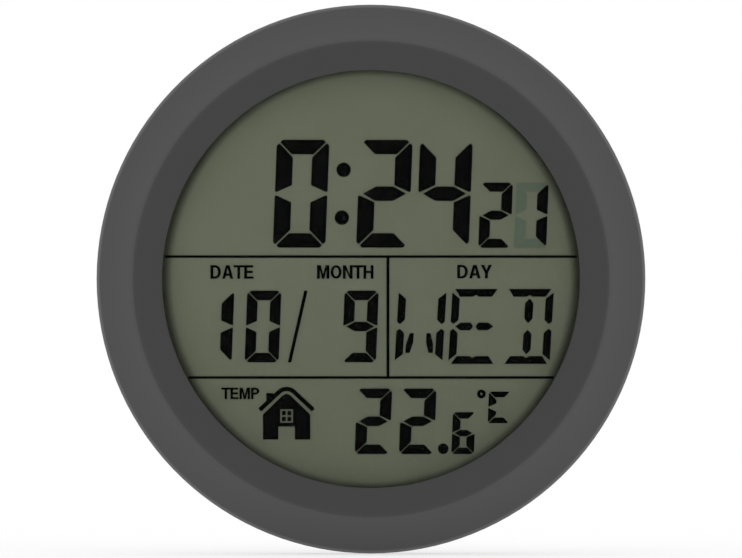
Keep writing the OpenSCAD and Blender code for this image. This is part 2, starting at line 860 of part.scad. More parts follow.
module tact_switches() {
    color("#26272a") to_wall() for (y = BUTTON_Y) {
        translate([-button_x, y, z_switch]) difference() {
            translate([-switch_w / 2, -switch_w / 2, 0]) cube([switch_w, switch_w, switch_h]);
            translate([0, 0, -1]) cylinder(r = stem_r + fit_gap, h = 1 + stem_in + press_travel + stem_rest);
        }
    }
}

module switch_stem(y) {
    color("#35363a") to_wall() translate([-button_x, y, z_stem]) cylinder(r = stem_r, h = stem_out + stem_in);
}

// Cap with a flange inside the case and a raised sign on its face
module button_cap(y) {
    z_cap = z_back - button_proud;
    cap_r = button_d / 2;
    color("#3c3d3f") to_wall() translate([-button_x, y, 0]) {
        rotate_extrude() polygon([
            [0, z_cap], [cap_r - button_bevel, z_cap], [cap_r, z_cap + button_bevel], [cap_r, z_flange],
            [cap_r + button_flange_w, z_flange], [cap_r + button_flange_w, z_flange + button_flange_t],
            [stem_r, z_flange + button_flange_t], [stem_r, z_stem - seat_play], [0, z_stem - seat_play]
        ]);
        translate([0, 0, z_cap - sign_h]) linear_extrude(2 * sign_h) children();
    }
}

module mode_stem() {
    switch_stem(BUTTON_Y[0]);
}

module up_stem() {
    switch_stem(BUTTON_Y[1]);
}

module down_stem() {
    switch_stem(BUTTON_Y[2]);
}

module unit_stem() {
    switch_stem(BUTTON_Y[3]);
}

module mode_button() {
    button_cap(BUTTON_Y[0]) difference() {
        circle(button_d * 0.24);
        circle(button_d * 0.14);
    }
}

module up_button() {
    button_cap(BUTTON_Y[1]) {
        square([button_d * 0.5, button_d * 0.12], center = true);
        square([button_d * 0.12, button_d * 0.5], center = true);
    }
}

module down_button() {
    button_cap(BUTTON_Y[2]) square([button_d * 0.5, button_d * 0.12], center = true);
}

module unit_button() {
    button_cap(BUTTON_Y[3]) circle(button_d * 0.14);
}

function rear_profile() =
    let (
        corner = [part_r, z_back],
        gasket_z = z_part + (tongue_h - gasket_h) / 2
    )
    concat(
        [[0, z_back]],
        corner_arc([0, z_back], corner, [part_r, z_part], back_round),
        [[part_r, z_part], [tongue_r, z_part], [tongue_r, gasket_z], [tongue_r - gasket_depth, gasket_z],
            [tongue_r - gasket_depth, gasket_z + gasket_h], [tongue_r, gasket_z + gasket_h],
            [tongue_r, z_tongue], [tongue_in_r, z_tongue], [tongue_in_r, z_floor], [0, z_floor]]
    );

// Blind pocket inside the back that keeps the case closed behind a cup or the hanger
module pocket_shell(r) {
    translate([0, 0, z_floor - join]) cylinder(r = r, h = pocket_h + pocket_wall + join);
}

module pocket_space(r) {
    translate([0, 0, z_floor]) cylinder(r = r, h = pocket_h);
}

module keyhole() {
    cylinder(r = hanger_d / 2, h = floor_t + 2);
    translate([-hanger_slot / 2, 0, 0]) cube([hanger_slot, hanger_drop, floor_t + 2]);
    translate([0, hanger_drop, 0]) cylinder(r = hanger_slot / 2, h = floor_t + 2);
}

module case_solids() {
    rotate_extrude() polygon(rear_profile());
    translate([0, 0, z_pod]) linear_extrude(pod_h + join) rounded_rect(2 * pod_x, 2 * pod_y, pod_round);
    translate([-well_l / 2 - well_wall, -well_w / 2 - well_wall, z_back]) {
        cube([well_l + 2 * well_wall, well_w + 2 * well_wall, z_well + well_wall - z_back]);
    }
    for (a = POST_ANGLES) {
        rotate([0, 0, a]) translate([post_circle, 0, z_floor - join]) {
            cylinder(r = boss_r, h = z_post - z_floor + join);
        }
    }
    for (p = CUPS) translate(p) pocket_shell(cup_pocket_r + pocket_wall);
    translate([0, hanger_y, 0]) pocket_shell(hanger_pocket_r + pocket_wall);
    translate([0, hanger_y + hanger_drop, 0]) pocket_shell(hanger_pocket_r + pocket_wall);
    for (side = [0, 1]) mirror([side, 0, 0]) {
        translate([0, hinge_y, hinge_z]) rod_x(ear_x, ear_x + ear_w, ear_r);
        translate([ear_x, hinge_y - ear_r, hinge_z]) cube([ear_w, 2 * ear_r, z_back - hinge_z + join]);
    }
}

module rear_case() {
    color("#434445") to_wall() difference() {
        case_solids();
        translate([-well_l / 2, -well_w / 2, z_pod - 1]) cube([well_l, well_w, z_well - z_pod + 1]);
        translate([door_left - door_gap, -door_y - door_gap, z_pod - 1]) {
            cube([pod_x - door_left + 2, 2 * (door_y + door_gap), door_t + door_gap + 1]);
        }
        translate([door_left - door_gap, -door_y - rail_w - door_gap, z_pod + rail_lip]) {
            cube([pod_x - door_left + 2, 2 * (door_y + rail_w + door_gap), door_t + door_gap - rail_lip]);
        }
        for (side = [-1, 1]) {
            translate([well_l / 2 - 1, side * cell_pitch / 2 - tab_w / 2 - fit_gap, tab_z - fit_gap]) {
                cube([well_wall + 2, tab_w + 2 * fit_gap, contact_t + 2 * fit_gap]);
            }
        }
        for (a = POST_ANGLES) rotate([0, 0, a]) translate([post_circle, 0, z_back]) {
            translate([0, 0, -1]) cylinder(r = case_head_r + head_gap, h = case_head_h + head_sink + 1);
            cylinder(r = case_screw_r + fit_gap, h = z_post - z_back + 1);
        }
        for (p = CUPS) translate(p) {
            pocket_space(cup_pocket_r);
            translate([0, 0, z_back - 1]) cylinder(r = cup_neck_r + fit_gap, h = floor_t + 2);
        }
        translate([0, hanger_y, z_back - 1]) keyhole();
        translate([0, hanger_y, 0]) pocket_space(hanger_pocket_r);
        translate([0, hanger_y + hanger_drop, 0]) pocket_space(hanger_pocket_r);
        translate([-hanger_pocket_r, hanger_y, z_floor]) cube([2 * hanger_pocket_r, hanger_drop, pocket_h]);
        for (y = BUTTON_Y) {
            translate([-button_x, y, z_back - 1]) cylinder(r = button_d / 2 + button_gap, h = floor_t + 2);
        }
        for (i = [-1:1]) translate([vent_x + vent_pitch * i, 0, z_back - 1]) {
            linear_extrude(floor_t + 2) rounded_rect(vent_w, vent_l, vent_w / 2 - 0.01);
        }
        translate([0, hinge_y, hinge_z]) rod_x(-ear_x - ear_w - 1, ear_x + ear_w + 1, pin_d / 2 + screw_play);
    }
}

module case_gasket() {
    color("#1c1d1e") to_wall() translate([0, 0, z_part + (tongue_h - gasket_h) / 2 + seat_play]) {
        ring(skirt_r - seat_play, tongue_r - gasket_depth + seat_play, gasket_h - 2 * seat_play);
    }
}

module case_screws() {
    color("#8f9295") to_wall() for (a = POST_ANGLES) {
        rotate([0, 0, a]) translate([post_circle, 0, z_back + case_head_h + head_sink]) {
            pan_screw(case_head_r, case_head_h, case_screw_r - screw_play, case_screw_l);
        }
    }
}

module battery_door() {
    grips = 5;
    grip_w = 0.9;
    grip_l = 14;
    grip_h = 0.4;
    grip_inset = 4;
    grip_pitch = 2.2;
    arrow_w = 6;
    arrow_l = 4.5;
    arrow_x = pod_x - grip_inset - grips * grip_pitch - arrow_l;
    panel_left = door_left + door_gap;
    color("#434445") to_wall() {
        translate([panel_left, -door_y, z_pod]) cube([pod_x - panel_left, 2 * door_y, door_t]);
        translate([panel_left, -door_y - rail_w, z_pod + rail_lip + door_gap]) {
            cube([pod_x - panel_left, 2 * (door_y + rail_w), door_t - rail_lip - door_gap]);
        }
        for (i = [0:grips - 1]) {
            translate([pod_x - grip_inset - grip_pitch * i, -grip_l / 2, z_pod - grip_h]) {
                cube([grip_w, grip_l, grip_h + join]);
            }
        }
        translate([arrow_x, 0, z_pod - grip_h]) linear_extrude(grip_h + join) {
            polygon([[0, arrow_w / 2], [arrow_l, 0], [0, -arrow_w / 2]]);
        }
    }
}

// Cell along x with its button end towards +x
module cell() {
    nub_r = 1.9;
    nub_l = 1;
    crimp = 0.5;
    rod_x(0, crimp, cell_d / 2 - crimp);
    rod_x(crimp, cell_l - nub_l - crimp, cell_d / 2);
    rod_x(cell_l - nub_l - crimp, cell_l - nub_l, cell_d / 2 - crimp);
    rod_x(cell_l - nub_l, cell_l, nub_r);
}

module upper_cell() {
    color("#b9812f") to_wall() translate([cell_x - cell_l, cell_pitch / 2, z_cell]) cell();
}

module lower_cell() {
    color("#b9812f") to_wall() translate([cell_l - cell_x, -cell_pitch / 2, z_cell]) {
        mirror([1, 0, 0]) cell();
    }
}

module series_contact() {
    contact_y = (cell_pitch + contact_w) / 2;
    color("#c9cac6") to_wall() translate([-well_l / 2, -contact_y, z_cell - contact_w / 2]) {
        cube([contact_t, cell_pitch + contact_w, contact_w]);
    }
}

// Plate on the well's end wall with a solder tab through the wall
module terminal(y) {
    translate([well_l / 2 - contact_t, y - contact_w / 2, z_cell - contact_w / 2]) {
        cube([contact_t, contact_w, contact_w]);
    }
    translate([well_l / 2 - contact_t, y - tab_w / 2, tab_z]) {
        cube([contact_t + well_wall + tab_out, tab_w, contact_t]);
    }
}

module positive_terminal() {
    color("#c9cac6") to_wall() terminal(cell_pitch / 2);
}

module negative_terminal() {
    color("#c9cac6") to_wall() terminal(-cell_pitch / 2);
}

// Direction of a path at one of its points
function heading(path, i) = unit(path[min(i + 1, len(path) - 1)] - path[max(i - 1, 0)]);

// Side vectors along a path, each carried on from the one before it
function side_vectors(path, first, i = 0) =
    i == len(path) ? [] :
    let (t = heading(path, i), side = unit(first - (first * t) * t))
    concat([side], side_vectors(path, side, i + 1));

// Round tube along a path, closed at both ends
module tube(path, r, sides, first) {
    vectors = side_vectors(path, first);
    count = len(path);
    points = [for (i = [0:count - 1], k = [0:sides - 1])
        let (a = 360 * k / sides, across = cross(heading(path, i), vectors[i]))
        path[i] + r * (cos(a) * vectors[i] + sin(a) * across)];
    walls = [for (i = [0:count - 2], k = [0:sides - 1])
        let (a = i * sides + k, b = i * sides + (k + 1) % sides)
        each [[a, a + sides, b], [b, a + sides, b + sides]]];
    ends = [for (k = [1:sides - 2]) each
        [[0, k, k + 1], [(count - 1) * sides, (count - 1) * sides + k + 1, (count - 1) * sides + k]]];
    polyhedron(points, concat(walls, ends));
}

spring_turns = 3;
spring_r = 4;
spring_top_r = 2.4;
spring_l = cell_x * 2 - cell_l + nub_gap - 2 * seat_play;
SPRING = [for (i = [0:8 * spring_turns])
    let (f = i / (8 * spring_turns), r = spring_r + (spring_top_r - spring_r) * f)
    [spring_wire / 2 + f * (spring_l - spring_wire), r * cos(45 * i), r * sin(45 * i)]];
spring_gap = min([for (i = [0:len(SPRING) - 7], k = [i + 6:len(SPRING) - 1])
    norm(SPRING[i] - SPRING[k])]) - spring_wire;
echo("least gap between the turns of a contact spring", spring_gap);

module contact_springs() {
    spring_x = well_l / 2 - contact_t - seat_play;
    color("#c9cac6") to_wall() {
        translate([-spring_x, cell_pitch / 2, z_cell]) tube(SPRING, spring_wire / 2, 6, [0, 1, 0]);
        translate([spring_x, -cell_pitch / 2, z_cell]) rotate([0, 0, 180]) {
            tube(SPRING, spring_wire / 2, 6, [0, 1, 0]);
        }
    }
}

// Point of a smooth curve through p1 and p2 with neighbours p0 and p3
function curve_point(p0, p1, p2, p3, t) =
    let (linear = p2 - p0, square = 2 * p0 - 5 * p1 + 4 * p2 - p3, cubic = 3 * p1 - p0 - 3 * p2 + p3)
    p1 + (linear * t + square * t * t + cubic * t * t * t) / 2;

function smooth_path(points, steps) =
    let (last = len(points) - 1)
    concat(
        [for (i = [0:last - 1], s = [0:steps - 1])
            let (before = points[max(i - 1, 0)], after = points[min(i + 2, last)])
            curve_point(before, points[i], points[i + 1], after, s / steps)],
        [points[last]]
    );

// Lead from a tab's end round the well to its pad on the board, straight where it meets them
module lead(side) {
    start = [well_l / 2 + well_wall + tab_out + seat_play, cell_pitch / 2, tab_z + contact_t / 2];
    pad = [board_right + lead_pad.x, lead_pad.y, z_board - seat_play];
    bends = [for (p = LEAD_BENDS) start + p];
    curve = smooth_path(concat([start + [lead_d, 0, 0]], bends, [pad - [0, 0, 1.5 * lead_d]]), 3);
    flipped = [for (p = concat([start], curve, [pad])) [p.x, p.y * side, p.z]];
    tube(flipped, lead_d / 2, 8, [0, 0, 1]);
}

module positive_lead() {
    color("#b3261e") to_wall() lead(1);
}

module negative_lead() {
    color("#1a1a1a") to_wall() lead(-1);
}

module stand() {
    plate_z = hinge_z - plate_drop;
    rest_h = z_back - hinge_gap - (plate_z + stand_t);
    tip_y = hinge_y - stand_l;
    color("#3f4041") to_wall() difference() {
        union() {
            translate([0, hinge_y, hinge_z]) rod_x(-stand_w / 2, stand_w / 2, barrel_r);
            translate([-stand_w / 2, hinge_y, plate_z]) cube([stand_w, barrel_r * cam_reach, 2 * plate_drop]);
            translate([0, hinge_y, plate_z]) linear_extrude(stand_t) polygon(concat(
                [[-stand_w / 2, 0]],
                corner_arc([-stand_w / 2, 0], [-tip_w / 2, -stand_l], [tip_w / 2, -stand_l], tip_round),
                corner_arc([-tip_w / 2, -stand_l], [tip_w / 2, -stand_l], [stand_w / 2, 0], tip_round),
                [[stand_w / 2, 0]]
            ));
            for (x = [-1, 1]) translate([x * tip_w / 4, tip_y + tip_round + 1, plate_z + stand_t - join]) {
                cylinder(r = rest_r, h = rest_h + join);
            }
            for (x = [-1, 0, 1]) {
                rib_x = x * tip_w / 4 - stand_rib_w / 2;
                translate([rib_x, tip_y + 2 * tip_round, plate_z - stand_rib_h]) {
                    cube([stand_rib_w, stand_l - 3.5 * tip_round, stand_rib_h + join]);
                }
            }
        }
        translate([0, hinge_y, hinge_z]) rod_x(-stand_w, stand_w, pin_d / 2 + pin_play);
    }
}

module stand_pin() {
    pin_x = ear_x + ear_w;
    color("#b9bcbf") to_wall() translate([0, hinge_y, hinge_z]) rod_x(-pin_x, pin_x, pin_d / 2);
}

function cup_profile() =
    let (
        lip_r = cup_d / 2,
        inner_r = lip_r - 1,
        shoulder_z = z_back - cup_shoulder_h,
        steps = 12
    )
    concat(
        [for (i = [0:steps]) let (f = i / steps) [inner_r * f, cup_hollow * (1 - f * f)]],
        [[lip_r, 0]],
        [for (i = [0:steps]) let (f = i / steps)
            [lip_r - (lip_r - cup_shoulder_r) * f, cup_lip_t + (shoulder_z - cup_lip_t) * pow(f, 1.6)]],
        [[cup_shoulder_r, z_back], [cup_neck_r, z_back], [cup_neck_r, z_floor + fit_gap],
            [cup_head_r, z_floor + fit_gap], [cup_head_r, z_floor + fit_gap + cup_head_h / 2],
            [cup_neck_r, z_floor + fit_gap + cup_head_h], [0, z_floor + fit_gap + cup_head_h]]
    );

module suction_cup(i) {
    color("#cfd6d8", 0.6) to_wall() translate(CUPS[i]) rotate_extrude() polygon(cup_profile());
}

module suction_cup_top_left() {
    suction_cup(0);
}

module suction_cup_top_right() {
    suction_cup(1);
}

module suction_cup_bottom_left() {
    suction_cup(2);
}

module suction_cup_bottom_right() {
    suction_cup(3);
}

front_case();
lens();
lens_tape();
lcd_spacer();
front_polariser();
lcd_front_glass();
lcd_seal();
lcd_segments();
lcd_rear_glass();
lcd_reflector();
lcd_tray();
tray_screws();
zebra_strip();
circuit_board();
board_screws();
driver_chip();
quartz_crystal();
chip_capacitors();
thermistor();
tact_switches();
mode_stem();
up_stem();
down_stem();
unit_stem();
mode_button();
up_button();
down_button();
unit_button();
rear_case();
case_gasket();
case_screws();
battery_door();
upper_cell();
lower_cell();
series_contact();
positive_terminal();
negative_terminal();
contact_springs();
positive_lead();
negative_lead();
stand();
stand_pin();
suction_cup_top_left();
suction_cup_top_right();
suction_cup_bottom_left();
suction_cup_bottom_right();
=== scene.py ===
"""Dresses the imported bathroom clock: the finish of every piece, the printed signs of the display, and a
plain studio with the camera where the photograph was taken.

All places are in metres in the model's own frame: +X to the viewer's right, +Z up, the face towards -Y
and the wall at Y = 0. Sizes in the classes are in millimetres, on the clock's face: across, up, and depth
from the wall towards the viewer. Colours are sRGB hex.
"""

import logging
from dataclasses import dataclass, field
from enum import Enum
from typing import Any, Sequence

import bpy
import numpy as np
from numpy.typing import NDArray
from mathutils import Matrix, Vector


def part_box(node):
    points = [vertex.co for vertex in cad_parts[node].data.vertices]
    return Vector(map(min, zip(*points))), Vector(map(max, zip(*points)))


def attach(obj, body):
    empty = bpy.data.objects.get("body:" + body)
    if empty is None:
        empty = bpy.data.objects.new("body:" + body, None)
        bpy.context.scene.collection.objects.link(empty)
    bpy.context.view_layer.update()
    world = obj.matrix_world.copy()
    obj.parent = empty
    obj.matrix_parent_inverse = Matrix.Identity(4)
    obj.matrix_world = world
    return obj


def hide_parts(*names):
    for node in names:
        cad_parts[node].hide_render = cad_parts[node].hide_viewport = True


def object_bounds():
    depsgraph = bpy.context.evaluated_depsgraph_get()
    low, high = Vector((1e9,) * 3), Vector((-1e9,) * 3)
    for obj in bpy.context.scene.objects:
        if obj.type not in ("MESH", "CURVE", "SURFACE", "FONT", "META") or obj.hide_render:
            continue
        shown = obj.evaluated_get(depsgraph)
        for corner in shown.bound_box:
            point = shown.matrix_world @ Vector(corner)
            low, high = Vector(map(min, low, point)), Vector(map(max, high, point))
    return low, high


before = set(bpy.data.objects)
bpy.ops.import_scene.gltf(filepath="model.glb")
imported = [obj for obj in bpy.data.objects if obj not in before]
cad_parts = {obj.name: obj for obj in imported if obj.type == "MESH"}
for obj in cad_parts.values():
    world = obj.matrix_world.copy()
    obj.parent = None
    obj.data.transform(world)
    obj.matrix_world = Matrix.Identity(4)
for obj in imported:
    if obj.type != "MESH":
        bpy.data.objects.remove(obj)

Tree = bpy.types.NodeTree
Node = bpy.types.Node
Socket = bpy.types.NodeSocket
Outlines = list[NDArray]
Mesh = tuple[NDArray, list[list[int]]]
Inputs = dict[str, Any]

CAD_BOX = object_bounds()
MM = 0.001

log = logging.getLogger("bathroom_clock")


class Sheen(Enum):
    """How a surface throws light back, as the roughness that its shader takes."""

    MATT = 0.6
    SATIN = 0.42
    SMOOTH = 0.25
    GLOSS = 0.06


class Grain(Enum):
    """The way that drawn or turned marks run on a metal, as how close they lie along X, Y and Z."""

    ALONG_X = (0.06, 1.0, 1.0)
    ALONG_Z = (1.0, 1.0, 0.06)
    TURNED = (1.0, 0.06, 1.0)


class MixSocket:
    """Numbers of the colour sockets of a Mix node, whose names recur for other kinds of value."""

    A = 6
    B = 7
    RESULT = 2


def linear(colour: str) -> tuple[float, float, float, float]:
    """Turns an sRGB hex value into the linear colour that a shader takes.

    Args:
        colour: six hex digits after a hash sign.

    Returns:
        Red, green, blue and a full alpha.
    """
    coded = np.array([int(colour[i:i + 2], 16) for i in (1, 3, 5)]) / 255.0
    plain = np.where(coded <= 0.04045, coded / 12.92, ((coded + 0.055) / 1.055) ** 2.4)
    return (*(float(c) for c in plain), 1.0)


WHITE = linear("#ffffff")


def per_mm(size: float) -> float:
    """Gives the scale of a pattern on metre coordinates whose cells are size millimetres wide."""
    return 1.0 / (size * MM)


def add_node(tree: Tree, kind: str, inputs: dict[Any, Any] | None = None, **settings: Any) -> Node:
    """Adds a node, sets its properties, and sets or links its inputs.

    Args:
        tree: node tree that gets the node.
        kind: Blender's name of the node type after ShaderNode.
        inputs: for each input, by its name or number, a value, a socket, or a node for its first output.
        **settings: properties of the node itself.

    Returns:
        The new node.
    """
    node = tree.nodes.new(f"ShaderNode{kind}")
    for name, value in settings.items():
        setattr(node, name, value)
    for key, value in (inputs or {}).items():
        source = value.outputs[0] if isinstance(value, Node) else value
        if isinstance(source, Socket):
            tree.links.new(source, node.inputs[key])
        else:
            node.inputs[key].default_value = source
    return node


def face_radius(tree: Tree, place: Socket, wide: float = 1.0) -> Socket:
    """Gives the distance from the axis in metres; one across counts wide times as much as one up."""
    flat = add_node(tree, "VectorMath", {0: place, 1: (wide, 0.0, 1.0)}, operation="MULTIPLY")
    return add_node(tree, "VectorMath", {0: flat}, operation="LENGTH").outputs["Value"]


def wall_depth(tree: Tree, place: Socket) -> Socket:
    """Gives the distance from the wall in metres, which is Y with its sign turned."""
    along = add_node(tree, "SeparateXYZ", {0: place}).outputs["Y"]
    return add_node(tree, "Math", {0: along, 1: -1.0}, operation="MULTIPLY").outputs[0]


def split_at(tree: Tree, place: Socket, depth: float, near: Any, far: Any) -> Socket:
    """Gives one colour on the wall's side of a depth, and another on the viewer's side.

    Args:
        tree: node tree that asks.
        place: coordinates of the surface.
        depth: the depth in millimetres.
        near: colour, or socket of it, on the wall's side.
        far: the same on the viewer's side.

    Returns:
        Socket of the colour.
    """
    beyond = add_node(tree, "Math", {0: wall_depth(tree, place), 1: depth * MM}, operation="GREATER_THAN")
    return add_node(tree, "Mix", {0: beyond, MixSocket.A: near, MixSocket.B: far},
                    data_type="RGBA").outputs[MixSocket.RESULT]


def colour_along(tree: Tree, distance: Socket, stops: Sequence[tuple[float, str]],
                 stepped: bool = False) -> Socket:
    """Changes a colour along a distance.

    Args:
        tree: node tree that asks.
        distance: socket of the distance in metres.
        stops: places in order, in millimetres, with the colour that holds there.
        stepped: True where a colour holds up to the next place, False where it runs into the next one.

    Returns:
        Socket of the colour.
    """
    low, high = stops[0][0], stops[-1][0]
    share = add_node(tree, "MapRange", {"Value": distance, "From Min": low * MM, "From Max": high * MM})
    ramp = add_node(tree, "ValToRGB", {0: share})
    ramp.color_ramp.interpolation = "CONSTANT" if stepped else "LINEAR"
    points = ramp.color_ramp.elements
    points[0].color, points[1].color = linear(stops[0][1]), linear(stops[-1][1])
    for place, colour in stops[1:-1]:
        points.new((place - low) / (high - low)).color = linear(colour)
    return ramp.outputs["Color"]


@dataclass(frozen=True)
class Finish:
    """One real material: its common name, its colour and how it throws light back.

    Attributes:
        name: name of the Blender material.
        colour: colour of the surface.
        sheen: how the surface throws light back.
        ior: index of refraction.
        metallic: 1 for a bare metal.
        alpha: below 1 for a thin see-through sheet.
        clear: above 0 for a clear solid.
    """

    name: str
    colour: str
    sheen: Sheen
    ior: float = 1.5
    metallic: float = 0.0
    alpha: float = 1.0
    clear: float = 0.0

    def material(self) -> bpy.types.Material:
        """Makes the material the first time, and returns it.

        Returns:
            The Blender material.
        """
        made = bpy.data.materials.get(self.name)
        if made is None:
            made = bpy.data.materials.new(self.name)
            made.use_nodes = True
            tree = made.node_tree
            tree.nodes.clear()
            place = add_node(tree, "TexCoord").outputs["Object"]
            shader = add_node(tree, "BsdfPrincipled", {
                "Base Color": linear(self.colour), "Roughness": self.sheen.value, "IOR": self.ior,
                "Metallic": self.metallic, "Alpha": self.alpha, "Transmission Weight": self.clear,
                **self.detail(tree, place)})
            add_node(tree, "OutputMaterial", {"Surface": shader})
        return made

    def detail(self, tree: Tree, place: Socket) -> Inputs:
        """Gives the inputs that show how the surface was made; a polished clear sheet has none."""
        return {}


@dataclass(frozen=True)
class MouldedPlastic(Finish):
    """Plastic from a spark-eroded mould, which gives an even matt grain, or from a plain one where the
    grain is shallow. The melt leaves faint clouds.

    Attributes:
        shade: colour of the darker clouds.
        cloud: size of the clouds.
        grain: size of the grain, about twice the real one.
        depth: depth of the grain.
    """

    shade: str = "#000000"
    cloud: float = 35.0
    grain: float = 0.45
    depth: float = 0.02

    def detail(self, tree: Tree, place: Socket) -> Inputs:
        """Mixes the clouds into the colour and raises the grain.

        Args:
            tree: the material's nodes.
            place: coordinates on the surface.

        Returns:
            Inputs of the shader.
        """
        clouds = add_node(tree, "TexNoise", {
            "Vector": place, "Scale": per_mm(self.cloud), "Detail": 3.0, "Roughness": 0.55})
        grain = add_node(tree, "TexNoise", {
            "Vector": place, "Scale": per_mm(self.grain), "Detail": 2.0, "Roughness": 0.6})
        raised = add_node(tree, "Bump", {"Height": grain, "Strength": 0.5, "Distance": self.depth * MM})
        return {"Base Color": self.tint(tree, place, clouds.outputs[0]), "Normal": raised}

    def tint(self, tree: Tree, place: Socket, clouds: Socket) -> Socket:
        """Mixes the colour and the shade by the clouds, which run from 0 to 1."""
        ends = {MixSocket.A: linear(self.colour), MixSocket.B: linear(self.shade)}
        return add_node(tree, "Mix", {0: clouds, **ends}, data_type="RGBA").outputs[MixSocket.RESULT]


@dataclass(frozen=True)
class BezelPlastic(MouldedPlastic):
    """The front shell's plastic: the slope inside the crest is coloured darker than the outside, and the
    rim carries a painted highlight.

    Attributes:
        rings: distances from the axis, with the colour there.
        uneven: how far the clouds lighten and darken it.
        painted_highlight: colour of the painted highlight on the rim.
        rim: distance from the axis at which the painted highlight begins.
        rim_back: depth at which it ends.
        change: width over which it begins and ends.
    """

    rings: tuple[tuple[float, str], ...] = ()
    uneven: float = 0.03
    painted_highlight: str = "#000000"
    rim: float = 83.75
    rim_back: float = 25.3
    change: float = 0.45

    def tint(self, tree: Tree, place: Socket, clouds: Socket) -> Socket:
        """Gives each ring's colour, lightens and darkens it by the clouds, and paints a highlight on the
        rim.

        Args:
            tree: the material's nodes.
            place: coordinates on the surface.
            clouds: how cloudy the surface is, from 0 to 1.

        Returns:
            Socket of the colour.
        """
        radius = face_radius(tree, place)
        level = add_node(tree, "MapRange", {
            "Value": clouds, "To Min": 1.0 + self.uneven, "To Max": 1.0 - self.uneven})
        plain = add_node(tree, "VectorMath", {
            0: colour_along(tree, radius, self.rings), "Scale": level}, operation="SCALE")
        begun, not_ended = (add_node(tree, "MapRange", {
            "Value": distance, "From Min": edge * MM, "From Max": (edge + self.change) * MM})
            for distance, edge in ((radius, self.rim), (wall_depth(tree, place), self.rim_back)))
        # Painted highlight: the band of the rim between rim and rim_back takes a lighter colour
        highlit = add_node(tree, "Math", {0: begun, 1: not_ended}, operation="MULTIPLY")
        return add_node(tree, "Mix", {0: highlit, MixSocket.A: plain, MixSocket.B: linear(self.painted_highlight)},
                        data_type="RGBA").outputs[MixSocket.RESULT]


@dataclass(frozen=True)
class PrintedKey(MouldedPlastic):
    """A key's plastic, with pale ink rolled on the sign that stands up from it.

    Attributes:
        ink: colour of the ink.
        cap: depth of the key's outer face.
        sign: height of the sign.
    """

    ink: str = "#000000"
    cap: float = 9.8
    sign: float = 0.25

    def tint(self, tree: Tree, place: Socket, clouds: Socket) -> Socket:
        """Lays the ink on what stands up by more than half the sign's height."""
        bare = super().tint(tree, place, clouds)
        return split_at(tree, place, self.cap - self.sign / 2, linear(self.ink), bare)


@dataclass(frozen=True)
class DisplayFilm(Finish):
    """Layer of the display cell under the glass: foil grain, cloudy patches, and a border that falls dark
    where the lip shades it. It touches the glass, so it has no reflection of its own.

    Attributes:
        cloudy: colour of the patches.
        patch: size of the patches.
        grain: size of the foil's grain, drawn coarser so that it shows.
        speckle: how far the grain lightens and darkens the colour.
        shade_from: distance from the axis at which the shade begins.
        shade_to: distance at which it is full.
        wide: how much closer it comes at the sides.
        shade: how much of the colour it takes.
        lean: painted shade, by which the right side comes out darker than the left.
        painted_bottom_shade: painted shade, by which the bottom comes out darker than the middle.
    """

    ior: float = 1.0
    cloudy: str = "#000000"
    patch: float = 22.0
    grain: float = 0.7
    speckle: float = 0.06
    shade_from: float = 62.2
    shade_to: float = 65.4
    wide: float = 1.021
    shade: float = 0.73
    lean: float = 0.07
    painted_bottom_shade: float = 0.12

    def detail(self, tree: Tree, place: Socket) -> Inputs:
        """Mixes in the patches, then scales by the grain and the painted shade of border, right and bottom.

        Args:
            tree: the material's nodes.
            place: coordinates on the surface.

        Returns:
            Inputs of the shader.
        """
        patches = add_node(tree, "TexNoise", {
            "Vector": place, "Scale": per_mm(self.patch), "Detail": 2.0, "Roughness": 0.5})
        tone = add_node(tree, "Mix", {
            0: patches, MixSocket.A: linear(self.colour), MixSocket.B: linear(self.cloudy)},
            data_type="RGBA")
        grain = add_node(tree, "TexNoise", {"Vector": place, "Scale": per_mm(self.grain), "Detail": 2.0})
        foil = add_node(tree, "MapRange", {
            "Value": grain, "To Min": 1.0 - self.speckle, "To Max": 1.0 + self.speckle})
        level, edge = foil, self.shade_to
        radius = face_radius(tree, place, self.wide)
        parts = add_node(tree, "SeparateXYZ", {0: place}).outputs
        # Painted shade: the lip's border, the right side and the bottom each scale the colour down
        for where, start, end, first, last, curve in (
                (radius, self.shade_from, edge, 1.0, 1.0 - self.shade, "SMOOTHSTEP"),
                (parts["X"], -edge, edge, 1.0 + self.lean / 2, 1.0 - self.lean / 2, "LINEAR"),
                (parts["Z"], 0.0, -edge, 1.0, 1.0 - self.painted_bottom_shade, "LINEAR")):
            left = add_node(tree, "MapRange", {
                "Value": where, "From Min": start * MM, "From Max": end * MM,
                "To Min": first, "To Max": last}, interpolation_type=curve)
            level = add_node(tree, "Math", {0: level, 1: left}, operation="MULTIPLY")
        return {"Base Color": add_node(tree, "VectorMath", {
            0: tone.outputs[MixSocket.RESULT], "Scale": level}, operation="SCALE")}


@dataclass(frozen=True)
class PlatedMetal(Finish):
    """Plated steel: a bright skin over the fine marks that drawing, rolling or turning left.

    Attributes:
        marks: distance between the marks.
        run: the way that the marks run.
        height: height of the marks.
        smoother: how much less rough the skin is between the marks.
        rougher: how much rougher it is on them.
    """

    metallic: float = 1.0
    marks: float = 0.25
    run: Grain = Grain.TURNED
    height: float = 0.01
    smoother: float = 0.1
    rougher: float = 0.15

    def detail(self, tree: Tree, place: Socket) -> Inputs:
        """Lets the marks roughen the skin and stand up a little.

        Args:
            tree: the material's nodes.
            place: coordinates on the surface.

        Returns:
            Inputs of the shader.
        """
        along = add_node(tree, "Mapping", {"Vector": place, "Scale": self.run.value})
        marks = add_node(tree, "TexNoise", {"Vector": along, "Scale": per_mm(self.marks), "Detail": 3.0})
        middle = self.sheen.value
        rough = add_node(tree, "MapRange", {
            "Value": marks, "To Min": middle - self.smoother, "To Max": middle + self.rougher})
        raised = add_node(tree, "Bump", {"Height": marks, "Strength": 0.25, "Distance": self.height * MM})
        return {"Roughness": rough, "Normal": raised}


